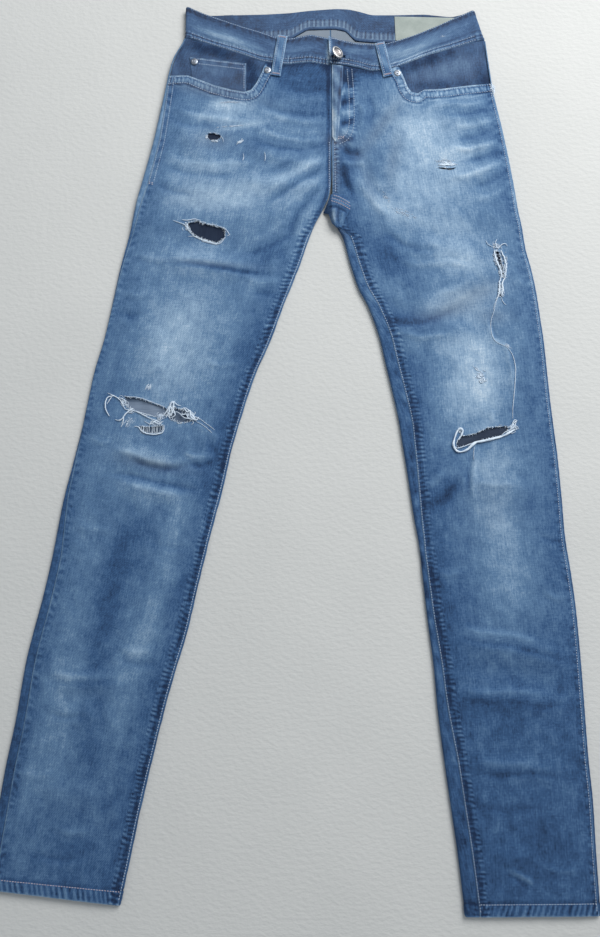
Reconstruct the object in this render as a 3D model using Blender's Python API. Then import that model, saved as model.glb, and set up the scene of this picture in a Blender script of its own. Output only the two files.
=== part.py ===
"""Ripped skinny jeans that lie flat with the front up.

The origin is the middle of the underside. +Y points to the waist, +X to the
left leg (the wearer's left, on the right when seen from above) and +Z up.
All sizes below are in millimetres; MM turns them into metres.

Each leg is a flattened tube. A row of its table is one section across the leg,
from the outer edge to the inner edge. The front panel is the upper part of the
tube and the back panel is the lower part, and they meet at the side seam and at
the inseam. Above the crotch the sections end at the centre seam instead.
"""

import math
from collections import namedtuple

import bmesh
import bpy
from mathutils import Matrix, Vector

MM = 0.001

# Cloth and seams
WALL = 1.3
HEM_WALL = 2.1
HEM_DEPTH = 15.0
SEAM_GAP = 0.3
PIECE = 1.0
EDGE_RADIUS = 2.8
EDGE_ARC = EDGE_RADIUS * math.pi / 2

# Height of the flattened tube: the legs lie on the surface, and the seat lies
# on the back pockets and the back belt loops.
LEG_HEIGHT = 5.2
SEAT_HEIGHT = 6.2
SEAT_LIFT = 1.5
SEAT_LIFT_FROM = 240.0
SEAT_LIFT_TO = 275.0
CROWN = 0.8
CROWN_RUN = 30.0

# Where the centre seam ends and the two legs part
CENTRE_X = 50.0
CROTCH_Y = 296.0
CROTCH_RUN = 34.0

# Mesh steps along and across the cloth
ROW_STEP = 17.0
FRONT_COLUMNS = 9
BACK_COLUMNS = 3
WRAP_STEPS = 4

Section = namedtuple("Section", "outer_x outer_y inner_x inner_y")
Inset = namedtuple("Inset", "y side inseam")
Fold = namedtuple("Fold", "x1 y1 x2 y2 width height")
Band = namedtuple("Band", "top_x top_y bottom_x bottom_y z")

RIGHT_SECTIONS = [
    Section(-139, 535, 50, 535),
    Section(-142, 515, 50, 500),
    Section(-156, 486, 50, 455),
    Section(-167, 432, 50, 391),
    Section(-179, 370, 50, 350),
    Section(-192, 316, 49, 312),
    Section(-197, 296, 44, 292),
    Section(-205, 252, 25, 253),
    Section(-215, 209, 11, 212),
    Section(-225, 157, -9, 160),
    Section(-234, 112, -27, 110),
    Section(-244, 74, -46, 65),
    Section(-251, 36, -59, 24),
    Section(-258, -4, -73, -26),
    Section(-266, -42, -83, -72),
    Section(-276, -87, -96, -124),
    Section(-287, -156, -112, -193),
    Section(-297, -207, -124, -247),
    Section(-305, -241, -134, -281),
    Section(-313, -279, -144, -317),
    Section(-322, -345, -158, -376),
    Section(-331, -396, -168, -420),
    Section(-338, -446, -177, -463),
    Section(-345, -495, -185, -505),
    Section(-351, -531, -194, -549),
]

LEFT_SECTIONS = [
    Section(250, 535, 50, 535),
    Section(252, 514, 50, 483),
    Section(256, 477, 50, 439),
    Section(261, 437, 50, 394),
    Section(270, 391, 50.5, 350),
    Section(277, 350, 51, 316),
    Section(283, 309, 51, 290),
    Section(287, 278, 54, 264),
    Section(291, 258, 64, 245),
    Section(295, 229, 73, 211),
    Section(301, 203, 83, 179),
    Section(306, 174, 95, 155),
    Section(310, 138, 108, 117),
    Section(313, 110, 115, 85),
    Section(316, 64, 123, 49),
    Section(318, 34, 130, 15),
    Section(321, -1, 135, -19),
    Section(324, -34, 140, -53),
    Section(327, -87, 147, -106),
    Section(329, -132, 153, -143),
    Section(334, -174, 157, -186),
    Section(338, -215, 161, -228),
    Section(341, -271, 167, -281),
    Section(343, -327, 171, -336),
    Section(345, -387, 177, -390),
    Section(348, -435, 183, -438),
    Section(349, -491, 190, -493),
    Section(351, -560, 197, -561),
]

# How far the back panel comes round each edge on to the front
RIGHT_INSETS = [
    Inset(540, 3, 0.3),
    Inset(432, 4, 0.3),
    Inset(365, 9, 0.3),
    Inset(312, 10, 0.3),
    Inset(240, 5, 3),
    Inset(150, 1, 3),
    Inset(0, 1, 3),
    Inset(-100, 6, 3),
    Inset(-170, 12, 3),
    Inset(-560, 13, 3),
]

LEFT_INSETS = [
    Inset(540, 2, 0.3),
    Inset(430, 3, 0.3),
    Inset(290, 4, 0.3),
    Inset(260, 4, 11),
    Inset(199, 4, 13),
    Inset(128, 4, 16),
    Inset(12, 4, 17),
    Inset(-70, 4, 12),
    Inset(-143, 4, 7),
    Inset(-229, 4, 9),
    Inset(-309, 4, 12),
    Inset(-390, 4, 17),
    Inset(-560, 4, 18),
]

# The largest folds: a ridge has a height, a trough has a height below zero
FOLDS = [
    Fold(45, 336, -62, 362, 10, 1.8),
    Fold(44, 312, -75, 318, 11, 2.2),
    Fold(-165, 214, -40, 200, 13, 2.8),
    Fold(-160, 240, -40, 228, 13, -1.3),
    Fold(-150, 400, -95, 330, 14, 1.6),
    Fold(-165, 130, -175, 60, 16, 1.5),
    Fold(-214, -30, -140, -42, 12, 2.6),
    Fold(-205, -52, -135, -62, 12, -1.1),
    Fold(-206, -72, -130, -82, 12, 2.0),
    Fold(-276, -303, -200, -300, 12, 1.9),
    Fold(-280, -338, -225, -338, 12, 1.4),
    Fold(-290, -420, -215, -430, 14, 1.2),
    Fold(66, 352, 78, 308, 11, 2.0),
    Fold(92, 350, 100, 310, 13, -1.3),
    Fold(262, 412, 185, 398, 11, 1.4),
    Fold(268, 380, 180, 352, 11, 1.8),
    Fold(274, 342, 190, 318, 11, 1.8),
    Fold(136, 232, 240, 226, 16, 2.4),
    Fold(110, 150, 165, 146, 16, -1.4),
    Fold(175, 150, 250, 190, 16, -1.4),
    Fold(120, 116, 225, 128, 16, 2.4),
    Fold(180, -62, 296, -74, 14, 1.6),
    Fold(190, -252, 322, -274, 12, 2.4),
    Fold(200, -286, 330, -302, 12, -1.1),
    Fold(198, -318, 330, -328, 12, 2.2),
    Fold(206, -395, 318, -402, 12, 2.0),
    Fold(228, -499, 292, -497, 12, 1.6),
]

# The waistband, once round from the button's end under the fly, by way of the
# right side and the back, to the end with the buttonhole, which lies on top.
BAND_THICKNESS = 2.4
BAND_FRONT_Z = 6.6
BAND_BACK_Z = 2.7
BAND_STATIONS = [
    Band(74, 512, 74, 477, 5.6),
    Band(47, 517, 47, 478, 5.6),
    Band(24, 522, 22, 482.5, 5.9),
    Band(-3, 516, -6, 479, 6.6),
    Band(-20, 517, -20, 480, 6.6),
    Band(-40, 525, -40, 483, 6.6),
    Band(-68, 534, -66, 493, 6.6),
    Band(-115, 551, -102, 505, 6.6),
    Band(-137, 561, -137, 517, 6.6),
    Band(-137, 561, -137, 517, 2.7),
    Band(-115, 551, -112, 516, 2.7),
    Band(-36, 553, -36, 515, 2.7),
    Band(-3, 555, -3, 517, 2.7),
    Band(19, 558, 19, 531, 2.7),
    Band(56, 561, 56, 532, 2.7),
    Band(73, 560.5, 70, 529, 2.7),
    Band(88, 557, 82, 515, 2.7),
    Band(104, 552, 104, 513, 2.7),
    Band(136, 552, 136, 512, 2.7),
    Band(174, 553, 174, 512, 2.7),
    Band(209, 549, 212, 512, 2.7),
    Band(236, 556, 248, 514, 2.7),
    Band(236, 556, 248, 514, 6.6),
    Band(216, 547, 207, 501, 6.6),
    Band(192, 535, 175, 492, 6.6),
    Band(160, 521, 137, 476, 6.6),
    Band(140, 514, 116, 470, 6.6),
    Band(116, 507, 100, 470, 7.0),
    Band(84, 508, 84, 474, 8.0),
    Band(69, 511, 69, 477, 8.3),
    Band(47, 518, 49, 480, 8.3),
]

# The upper edges of the front panels: the mouth of the pocket, then the
# waistband's lower edge as far as the fly
RIGHT_TOP = [
    (-210, 463), (-135, 463), (-120, 457), (-100, 449), (-78, 443), (-62, 440), (-53, 443),
    (-46, 453), (-39, 468), (-35, 481.7), (-20, 479.2), (-6, 478.2), (22, 481.7), (50, 477.2),
]
LEFT_TOP = [
    (50, 479.2), (69, 476.2), (84, 473.2), (100, 469.2), (116, 469.2), (135, 474.5), (139, 474),
    (145, 458), (149, 447), (154, 440), (162, 438), (170, 443), (191, 444), (230, 449),
    (247, 451), (275, 454),
]

# The upper edges of the seat, under the waistband
RIGHT_SEAT_TOP = [
    (-160, 516.2), (-137, 516.2), (-112, 515.2), (-36, 514.2), (-3, 516.2), (19, 530.2), (50, 531.3),
]
LEFT_SEAT_TOP = [
    (50, 531.3), (56, 531.2), (70, 528.2), (82, 514.2), (104, 512.2), (136, 511.2), (174, 511.2),
    (212, 511.2), (247, 513), (275, 513.2),
]
YOKE_CENTRE_Y = 452.0
YOKE_RISE = 0.13

# The rips that go through a front panel
HIP_HOLE = [(-108, 384), (-101, 386), (-92, 384), (-91, 377), (-99, 374), (-107, 376)]
THIGH_HOLE = [
    (-137, 262), (-123, 266), (-102, 262), (-83, 257), (-85, 246), (-93, 238), (-105, 241),
    (-120, 246), (-128, 254),
]
RIGHT_KNEE_SLIT = [
    (-206, 40), (-180, 34), (-155, 29), (-136, 23), (-115, 13), (-117, 8), (-129, 9), (-154, 12),
    (-172, 12), (-183, 19), (-201, 26),
]
RIGHT_KNEE_HOLE = [(-187, 4), (-170, 5), (-156, 3), (-157, -5), (-172, -7), (-185, -4)]
SIDE_RIP = [
    (256, 239), (260, 229), (265, 204), (264.5, 193), (264, 172), (257, 164), (253, 166),
    (257, 190), (257, 212), (252, 234),
]
LEFT_KNEE_RIP = [
    (199, -8), (230, -7), (236, -3), (266, 3), (258, -9), (231, -16), (222, -18), (212, -25),
    (203, -29), (198, -25),
]

# The dark cloth behind the rips, and the pocket bag behind the upper two
POCKET_BAG = [
    (-160, 424), (-112, 424), (-66, 421), (-62, 360), (-60, 262), (-74, 232), (-104, 222),
    (-140, 228), (-160, 258),
]
RIGHT_KNEE_PATCH = [(-224, 52), (-104, 32), (-112, -22), (-214, -18)]
SIDE_PATCH = [(240, 252), (276, 252), (278, 152), (242, 152)]
LEFT_KNEE_PATCH = [(184, 12), (282, 20), (278, -36), (186, -44)]

# The pocket pieces that show in the mouths of the front pockets
RIGHT_FACING = [
    (-148, 516.6), (-132, 514.6), (-102, 504.4), (-66, 492.4), (-40, 482.4), (-30, 474),
    (-32, 458), (-42, 438), (-60, 428), (-80, 430), (-102, 436), (-124, 445), (-150, 449),
    (-172, 452), (-168, 480),
]
LEFT_FACING = [
    (139, 476.2), (175, 491.4), (207, 500.4), (238, 510.2), (260, 512.5), (266, 446), (249, 440),
    (230, 437), (191, 431), (166, 428), (146, 430), (134, 446), (130, 464), (130, 473),
]
COIN_POCKET = [(-133, 490), (-60, 481), (-60, 429), (-128, 441)]

# The light edge of the fly, which tapers from the waistband to the bar tack
FLY_EDGE = [
    (51.5, 478.2), (66, 476.2), (65, 450), (62, 415), (59, 378), (55, 372), (51.5, 378),
]
FLY_BUMPS_Y = [440, 411, 386]
FLY_BUMP = 1.2
FLY_THICKNESS = 1.4

# The back pockets, as the underside shows them
POCKET_THICKNESS = 1.1
RIGHT_BACK_POCKET = [(-130, 436), (4, 428), (0, 322), (-58, 296), (-120, 326)]
LEFT_BACK_POCKET = [(96, 428), (230, 432), (226, 322), (162, 294), (102, 322)]

# Belt loops: the middle of the upper end and of the lower end
LOOP_WIDTH = 12.5
LOOP_THICKNESS = 1.6
FRONT_LOOPS = {
    "belt_loop_front_right": ((-12.5, 519), (-21.5, 462)),
    "belt_loop_front_left": ((113.5, 509), (124, 461)),
}
BACK_LOOPS = {
    "belt_loop_back_right": ((-84, 554), (-82, 505)),
    "belt_loop_back_centre": ((54, 561), (54, 518)),
    "belt_loop_back_left": ((190, 552), (190, 501)),
}
BACK_LOOP_THICKNESS = 1.1

# How a front loop stands off the waistband, as shares of its length and heights,
# and where it bends down to its lower end
LOOP_LIFTS = [(0, 0.4), (0.2, 0.8), (0.5, 1.2)]
LOOP_BEND = 0.78
LOOP_BEND_LIFT = 0.6

# Fastenings
BUTTON_X = 53.4
BUTTON_Y = 489.2
BUTTON_FOOT = 7.8
BUTTON_TILT = math.radians(35)
BUTTON_TILT_AXIS = (-0.26, 0.97, 0)
BUTTON_PROFILE = [
    (0, 0), (1.2, 0), (1.2, 8.6), (7.9, 8.6), (8.5, 9.2), (8.5, 10.1), (7.6, 11.0),
    (6.0, 11.2), (4.6, 10.6), (3.8, 10.0), (0, 10.1),
]
BUTTONHOLE = (18.0, 3.8)
BUTTONHOLE_START = 2.4
RIVET_PROFILE = [(0, 0), (4.1, 0), (4.5, 0.5), (3.5, 1.3), (2.0, 1.5), (1.4, 0.9), (0, 1.1)]
RIVETS = {
    "rivet_coin_pocket": (-127, 483),
    "rivet_right_pocket": (-32, 470),
    "rivet_left_pocket": (136, 466),
}

# The cloth of the seat that folds out under the crotch: lines across it, each with
# its y, its left end in the gap between the legs, and its right end on the left leg
CROTCH_FOLD = [
    (300, 48.2, 66), (297, 47.4, 70), (290, 44.4, 74), (284, 41.8, 74.5), (279, 39.4, 74),
    (276, 46, 72), (270, 48, 68), (263, 50.5, 65), (256, 57, 62.5),
]
CROTCH_FOLD_THICKNESS = 1.2
CROTCH_FOLD_RISE = 1.2
CROTCH_FOLD_SLOPE = 0.8
CROTCH_FOLD_LOWEST = 0.4
CROTCH_FOLD_EDGE_GAP = 1.4
CROTCH_FOLD_LANDING = 2.0
CROTCH_FOLD_STEPS = 8

# The blank label inside the back waistband
LABEL = [(134, 549), (216, 547), (217, 516), (135, 515)]
LABEL_THICKNESS = 0.9

# The rolled, frayed lower edge of the rip in the left knee
ROLL_RADIUS = 1.9
ROLL_PATH = [
    (264, -3), (259, -11), (245, -15), (231, -18), (222, -20.5), (213, -27), (203, -31.2),
    (195.5, -26), (195.5, -16), (197, -6), (203, -4),
]


def smooth(start, end, value):
    """A soft step from 0 at start to 1 at end."""
    share = min(1.0, max(0.0, (value - start) / (end - start)))
    return share * share * (3 - 2 * share)


def through(knots, values, at):
    """The value at one place on a smooth curve through all the knots."""
    last = len(knots) - 1
    index = 0
    while index < last - 1 and at > knots[index + 1]:
        index += 1
    span = knots[index + 1] - knots[index]
    share = (at - knots[index]) / span

    def slope(i):
        low = max(i - 1, 0)
        high = min(i + 1, last)
        return (values[high] - values[low]) / (knots[high] - knots[low])

    square = share * share
    cube = square * share
    return (
        (2 * cube - 3 * square + 1) * values[index]
        + (cube - 2 * square + share) * span * slope(index)
        + (3 * square - 2 * cube) * values[index + 1]
        + (cube - square) * span * slope(index + 1)
    )


def between(table, y, column):
    """A straight-line reading from a table whose rows run from high y to low y."""
    if y >= table[0].y:
        return getattr(table[0], column)
    for upper, lower in zip(table, table[1:]):
        if y >= lower.y:
            share = (upper.y - y) / (upper.y - lower.y)
            start = getattr(upper, column)
            return start + share * (getattr(lower, column) - start)
    return getattr(table[-1], column)


def fold_height(x, y):
    """What the folds add to the height of the front at one place."""
    total = 0.0
    for fold in FOLDS:
        run_x = fold.x2 - fold.x1
        run_y = fold.y2 - fold.y1
        length = math.hypot(run_x, run_y)
        along = ((x - fold.x1) * run_x + (y - fold.y1) * run_y) / length
        across = ((y - fold.y1) * run_x - (x - fold.x1) * run_y) / length
        taper = smooth(-0.1, 0.3, along / length) * smooth(1.1, 0.7, along / length)
        total += fold.height * taper * math.exp(-(across / fold.width) ** 2)
    return total


class Leg:
    """One half of the jeans, from the waist to the hem."""

    def __init__(self, sections, insets, centre_shift):
        self.sections = sections
        self.insets = insets
        self.centre_shift = centre_shift
        self.knots = [0.0]
        for upper, lower in zip(sections, sections[1:]):
            step_x = (upper.outer_x + upper.inner_x - lower.outer_x - lower.inner_x) / 2
            step_y = (upper.outer_y + upper.inner_y - lower.outer_y - lower.inner_y) / 2
            self.knots.append(self.knots[-1] + math.hypot(step_x, step_y))
        self.length = self.knots[-1]
        self.columns = {
            name: [getattr(section, name) for section in sections] for name in Section._fields
        }

    def edges(self, down):
        """The outer and inner edge points of the section at this distance."""
        x1, y1, x2, y2 = (
            through(self.knots, self.columns[name], down) for name in Section._fields
        )
        return (x1, y1), (x2 + self.centre_shift, y2)

    def rows(self):
        """Distances down the leg, with two close rows where the hem begins."""
        body = self.length - HEM_DEPTH
        count = round(body / ROW_STEP)
        return [body * i / count for i in range(count + 1)] + [body + 0.6, self.length]

    def wall(self, down):
        """The cloth is folded up and doubled along the hem."""
        return HEM_WALL if down > self.length - HEM_DEPTH + 0.3 else WALL

    def ring(self, down):
        """Half the way round the section, from the outer to the inner edge."""
        (x1, y1), (x2, y2) = self.edges(down)
        return math.hypot(x2 - x1, y2 - y1) - 2 * EDGE_RADIUS + 2 * EDGE_ARC

    def insets_at(self, down):
        """How far the side seam and the inseam lie in from the edges.

        The inseam starts at the inner edge itself, just under the crotch.
        """
        (_, y1), (_, y2) = self.edges(down)
        middle = (y1 + y2) / 2
        half = SEAM_GAP / 2
        start = CROTCH_Y - CROTCH_RUN
        inseam = between(self.insets, middle, "inseam") - half
        inseam *= smooth(start, start - CROTCH_RUN / 2, y2)
        return between(self.insets, middle, "side"), inseam + half

    def point(self, down, around):
        """A point of the outer face.

        around is 0 at the outer edge and runs over the top to the inner edge,
        or below zero under the bottom, and there on round the inner edge.
        """
        (x1, y1), (x2, y2) = self.edges(down)
        width = math.hypot(x2 - x1, y2 - y1)
        ring = width - 2 * EDGE_RADIUS + 2 * EDGE_ARC
        closed = smooth(CROTCH_Y, CROTCH_Y - CROTCH_RUN, y2)
        on_top = around >= 0 or -around > ring
        from_outer = abs(around) if -around <= ring else 2 * ring + around
        from_inner = ring - from_outer
        share = 1.0
        across = EDGE_RADIUS + from_outer - EDGE_ARC
        if from_outer < EDGE_ARC:
            turn = from_outer / EDGE_RADIUS
            across = EDGE_RADIUS * (1 - math.cos(turn))
            share = math.sin(turn)
        elif from_inner < EDGE_ARC:
            turn = from_inner / EDGE_RADIUS
            across = width - EDGE_RADIUS * (1 - math.cos(turn))
            share = 1 - closed * (1 - math.sin(turn))
        x = x1 + (x2 - x1) * across / width
        y = y1 + (y2 - y1) * across / width
        low = SEAT_LIFT * smooth(SEAT_LIFT_FROM, SEAT_LIFT_TO, y)
        height = LEG_HEIGHT + (SEAT_HEIGHT - LEG_HEIGHT) * smooth(230, 290, y)
        middle = low + height / 2
        if not on_top:
            return Vector((x, y, middle - share * height / 2))
        from_edge = smooth(0, CROWN_RUN, across)
        from_edge *= 1 - closed * (1 - smooth(0, CROWN_RUN, width - across))
        crown = from_edge * (CROWN + fold_height(x, y))
        return Vector((x, y, middle + share * (height / 2 + crown)))

    def front_around(self, down, column):
        """The places of the front panel's columns round the section."""
        side, inseam = self.insets_at(down)
        start = side + SEAM_GAP / 2
        end = self.ring(down) - inseam - SEAM_GAP / 2
        edge = [0, max(EDGE_ARC - side, 3) / 2, max(EDGE_ARC - side, 3)]
        far_edge = [0, max(EDGE_ARC - inseam, 3) / 2, max(EDGE_ARC - inseam, 3)]
        last = FRONT_COLUMNS + 4
        if column <= 2:
            return start + edge[column]
        if column >= last - 2:
            return end - far_edge[last - column]
        first = start + edge[2]
        return first + (end - far_edge[2] - first) * (column - 2) / FRONT_COLUMNS

    def back_around(self, down, column):
        """The places of the back panel's columns round the section."""
        side, inseam = self.insets_at(down)
        start = side - SEAM_GAP / 2
        ring = self.ring(down)
        last = 2 * WRAP_STEPS + BACK_COLUMNS
        if column <= WRAP_STEPS:
            return start - (start + EDGE_ARC) * column / WRAP_STEPS
        if column >= last - WRAP_STEPS:
            reach = inseam - SEAM_GAP / 2 + EDGE_ARC
            return -(ring - EDGE_ARC) - reach * (column - last + WRAP_STEPS) / WRAP_STEPS
        share = (column - WRAP_STEPS) / BACK_COLUMNS
        return -EDGE_ARC - (ring - 2 * EDGE_ARC) * share

    def place(self, around, down, column):
        """A point of the outer face by its distance down and its column."""
        low = int(math.floor(column))
        share = column - low
        position = around(self, down, low)
        if share:
            position += share * (around(self, down, low + 1) - position)
        return self.point(down, position)

    def normal(self, around, down, column, last_column):
        """The direction straight out of the cloth."""
        step = 0.05
        left = max(column - step, 0)
        right = min(column + step, last_column)
        above = max(down - 1, 0)
        below = min(down + 1, self.length)
        across = self.place(around, down, right) - self.place(around, down, left)
        along = self.place(around, below, column) - self.place(around, above, column)
        return across.cross(along).normalized()


def new_object(name, mesh_data, finish):
    mesh = bpy.data.meshes.new(name)
    mesh_data.to_mesh(mesh)
    mesh_data.free()
    mesh.materials.append(finish)
    piece = bpy.data.objects.new(name, mesh)
    bpy.context.scene.collection.objects.link(piece)
    return piece


def two_faced(name, outer, inner, finish):
    """A closed wall between an outer and an inner grid of points."""
    mesh_data = bmesh.new()
    rows = len(outer)
    columns = len(outer[0])
    out = [[mesh_data.verts.new(p * MM) for p in row] for row in outer]
    back = [[mesh_data.verts.new(p * MM) for p in row] for row in inner]
    for i in range(rows - 1):
        for j in range(columns - 1):
            mesh_data.faces.new((out[i][j], out[i + 1][j], out[i + 1][j + 1], out[i][j + 1]))
            mesh_data.faces.new((back[i][j], back[i][j + 1], back[i + 1][j + 1], back[i + 1][j]))
    for i in range(rows - 1):
        mesh_data.faces.new((out[i][0], back[i][0], back[i + 1][0], out[i + 1][0]))
        mesh_data.faces.new((out[i][-1], out[i + 1][-1], back[i + 1][-1], back[i][-1]))
    for j in range(columns - 1):
        mesh_data.faces.new((out[0][j], out[0][j + 1], back[0][j + 1], back[0][j]))
        mesh_data.faces.new((out[-1][j], back[-1][j], back[-1][j + 1], out[-1][j + 1]))
    bmesh.ops.recalc_face_normals(mesh_data, faces=mesh_data.faces)
    return new_object(name, mesh_data, finish)


def cloth_wall(name, leg, around, columns, side):
    """A panel: its outer face, and its inner face one wall further in."""
    outer = []
    inner = []
    for down in leg.rows():
        wall = leg.wall(down)
        faces = [
            (leg.place(around, down, j), leg.normal(around, down, j, columns) * side)
            for j in range(columns + 1)
        ]
        outer.append([point for point, _ in faces])
        inner.append([point - direction * wall for point, direction in faces])
    return two_faced(name, outer, inner, CLOTH["denim"])


def front_layer(name, leg, side, offset, thickness, outline, cloth, raised=None):
    """A piece that follows the front panel's own points, moved out or in.

    offset is how far its upper face lies above the panel's outer face, and
    raised may add to that from place to place.
    """
    low_y = min(y for _, y in outline)
    high_y = max(y for _, y in outline)
    last = FRONT_COLUMNS + 4
    outer = []
    inner = []
    for down in leg.rows():
        (_, y1), (_, y2) = leg.edges(down)
        if max(y1, y2) < low_y - ROW_STEP or min(y1, y2) > high_y + ROW_STEP:
            continue
        top_row = []
        low_row = []
        for j in range(2, last - 1):
            point = leg.place(Leg.front_around, down, j)
            direction = leg.normal(Leg.front_around, down, j, last) * side
            extra = raised(point.y) if raised else 0.0
            top_row.append(point + direction * (offset + extra))
            low_row.append(point + direction * (offset - thickness))
        outer.append(top_row)
        inner.append(low_row)
    piece = two_faced(name, outer, inner, cloth)
    trim(piece, [outline], "INTERSECT")


def upright(outlines, low, high):
    """One upright prism for each outline."""
    mesh_data = bmesh.new()
    for outline in outlines:
        verts = [mesh_data.verts.new((x * MM, y * MM, low * MM)) for x, y in outline]
        base = mesh_data.faces.new(verts)
        raised = bmesh.ops.extrude_face_region(mesh_data, geom=[base])
        moved = [v for v in raised["geom"] if isinstance(v, bmesh.types.BMVert)]
        bmesh.ops.translate(mesh_data, vec=(0, 0, (high - low) * MM), verts=moved)
    bmesh.ops.recalc_face_normals(mesh_data, faces=mesh_data.faces)
    return mesh_data


def prism(name, outlines, low, high):
    """A hidden cutter with the shape of some outlines."""
    cutter = new_object(name, upright(outlines, low, high), CLOTH["denim"])
    cutter.hide_render = True
    cutter.display_type = "WIRE"
    return cutter


def trim(piece, outlines, operation, low=-20.0, high=40.0):
    cutter = prism(f"shape_{operation.lower()}_{piece.name}", outlines, low, high)
    cut = piece.modifiers.new("Shape", "BOOLEAN")
    cut.operation = operation
    cut.solver = "EXACT"
    cut.object = cutter


def make_material(name, colour, roughness, metallic=0.0):
    made = bpy.data.materials.new(name)
    made.use_nodes = True
    shader = made.node_tree.nodes["Principled BSDF"]
    shader.inputs["Base Color"].default_value = (*colour, 1.0)
    shader.inputs["Roughness"].default_value = roughness
    shader.inputs["Metallic"].default_value = metallic
    return made


def above(edge, height=640.0):
    """The region above an edge line, as an outline."""
    return edge + [(edge[-1][0], height), (edge[0][0], height)]


def yoke_line(x, shift):
    """The height of the yoke seam, which rises from the centre to the sides."""
    return YOKE_CENTRE_Y + YOKE_RISE * abs(x - CENTRE_X) + shift


def make_leg_panels(side_name, leg, side, top_edge, seat_edge, rips):
    """The front panel, the back panel and the yoke of one side."""
    front_last = FRONT_COLUMNS + 4
    back_last = 2 * WRAP_STEPS + BACK_COLUMNS
    front = cloth_wall(
        f"front_{side_name}_panel", leg, Leg.front_around, front_last, side
    )
    trim(front, [above(top_edge)] + rips, "DIFFERENCE")
    ends = sorted((CENTRE_X - side * 3, CENTRE_X + side * 650))
    half = SEAM_GAP / 2
    upper = [(x, yoke_line(x, half)) for x in ends]
    lower = [(x, yoke_line(x, -half)) for x in ends]
    under_yoke = [upper[1], upper[0], (ends[0], -700), (ends[1], -700)]
    back = cloth_wall(
        f"back_{side_name}_panel", leg, Leg.back_around, back_last, -side
    )
    trim(back, [above(lower)], "DIFFERENCE")
    yoke = cloth_wall(
        f"back_yoke_{side_name}", leg, Leg.back_around, back_last, -side
    )
    trim(yoke, [above(seat_edge), under_yoke], "DIFFERENCE")


def semicircle_stations(first, second, direction):
    """Stations round a side fold, between the upper and the lower layer."""
    middle = (first.z + second.z) / 2
    radius = abs(first.z - second.z) / 2
    start = math.pi / 2 if first.z > second.z else -math.pi / 2
    stations = []
    steps = 6
    for k in range(steps + 1):
        turn = start - math.copysign(math.pi * k / steps, start)
        reach = direction * radius * math.cos(turn)
        stations.append(
            Band(
                first.top_x + reach, first.top_y, first.bottom_x + reach, first.bottom_y,
                middle + radius * math.sin(turn),
            )
        )
    return stations


def make_waistband():
    """One long strip, laid round the waist and over itself at the fly."""
    stations = []
    skip = False
    for current, following in zip(BAND_STATIONS, BAND_STATIONS[1:] + [None]):
        if skip:
            skip = False
            continue
        if following and abs(current.z - following.z) > 3:
            direction = -1 if current.z > following.z else 1
            stations += semicircle_stations(current, following, direction)
            skip = True
        else:
            stations.append(current)
    outer = []
    inner = []
    for x_name, y_name in (("top_x", "top_y"), ("bottom_x", "bottom_y")):
        line = [Vector((getattr(s, x_name), getattr(s, y_name), s.z)) for s in stations]
        out_line = []
        in_line = []
        for i, point in enumerate(line):
            run = line[min(i + 1, len(line) - 1)] - line[max(i - 1, 0)]
            out = Vector((run.z, 0, -run.x)).normalized() * (BAND_THICKNESS / 2)
            out_line.append(point + out)
            in_line.append(point - out)
        outer.append(out_line)
        inner.append(in_line)
    band = two_faced("waistband", outer, inner, CLOTH["denim"])
    long, tall = BUTTONHOLE
    left = BUTTON_X - BUTTONHOLE_START
    hole = [
        (left, BUTTON_Y - tall / 2), (left + long, BUTTON_Y - tall / 2),
        (left + long, BUTTON_Y + tall / 2), (left, BUTTON_Y + tall / 2),
    ]
    trim(band, [hole], "DIFFERENCE", low=6.95, high=20)


def flat_piece(name, outline, low, thickness, cloth):
    """A flat piece of cloth with an upright edge."""
    return new_object(name, upright([outline], low, low + thickness), cloth)


def strip(name, ends, profile, thickness):
    """A narrow strip between two ends; profile gives share and height pairs."""
    (x1, y1), (x2, y2) = ends
    run = Vector((x2 - x1, y2 - y1, 0))
    side = Vector((run.y, -run.x, 0)).normalized() * (LOOP_WIDTH / 2)
    outer = []
    inner = []
    for share, height in profile:
        middle = Vector((x1, y1, 0)) + run * share
        up = Vector((0, 0, height))
        thick = Vector((0, 0, thickness))
        outer.append([middle - side + up + thick, middle + side + up + thick])
        inner.append([middle - side + up, middle + side + up])
    two_faced(name, outer, inner, CLOTH["denim"])


def turned(name, profile, segments, place, metal, tilt=0.0):
    """A round metal piece from its profile of radius and height pairs."""
    mesh_data = bmesh.new()
    verts = [mesh_data.verts.new((radius * MM, 0, height * MM)) for radius, height in profile]
    for first, second in zip(verts, verts[1:]):
        mesh_data.edges.new((first, second))
    bmesh.ops.spin(
        mesh_data, geom=mesh_data.verts[:] + mesh_data.edges[:], angle=2 * math.pi,
        steps=segments, axis=(0, 0, 1), cent=(0, 0, 0),
    )
    bmesh.ops.remove_doubles(mesh_data, verts=mesh_data.verts, dist=0.00002)
    bmesh.ops.recalc_face_normals(mesh_data, faces=mesh_data.faces)
    piece = new_object(name, mesh_data, metal)
    piece.data.shade_smooth()
    piece.data.set_sharp_from_angle(angle=math.radians(40))
    piece.location = [value * MM for value in place]
    piece.rotation_euler = Matrix.Rotation(tilt, 3, Vector(BUTTON_TILT_AXIS)).to_euler()
    return piece


SEARCH_STEPS = 40


def surface_height(leg, x, y):
    """The height of the front's outer face at one place of the plan."""
    low = 0.0
    high = leg.length
    for _ in range(SEARCH_STEPS):
        down = (low + high) / 2
        (x1, y1), (x2, y2) = leg.edges(down)
        line_y = y1 + (y2 - y1) * (x - x1) / (x2 - x1)
        if line_y > y:
            low = down
        else:
            high = down
    (x1, y1), (x2, y2) = leg.edges(down)
    share = (x - x1) / (x2 - x1)
    width = math.hypot(x2 - x1, y2 - y1)
    return leg.point(down, share * width + EDGE_ARC - EDGE_RADIUS).z


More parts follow.
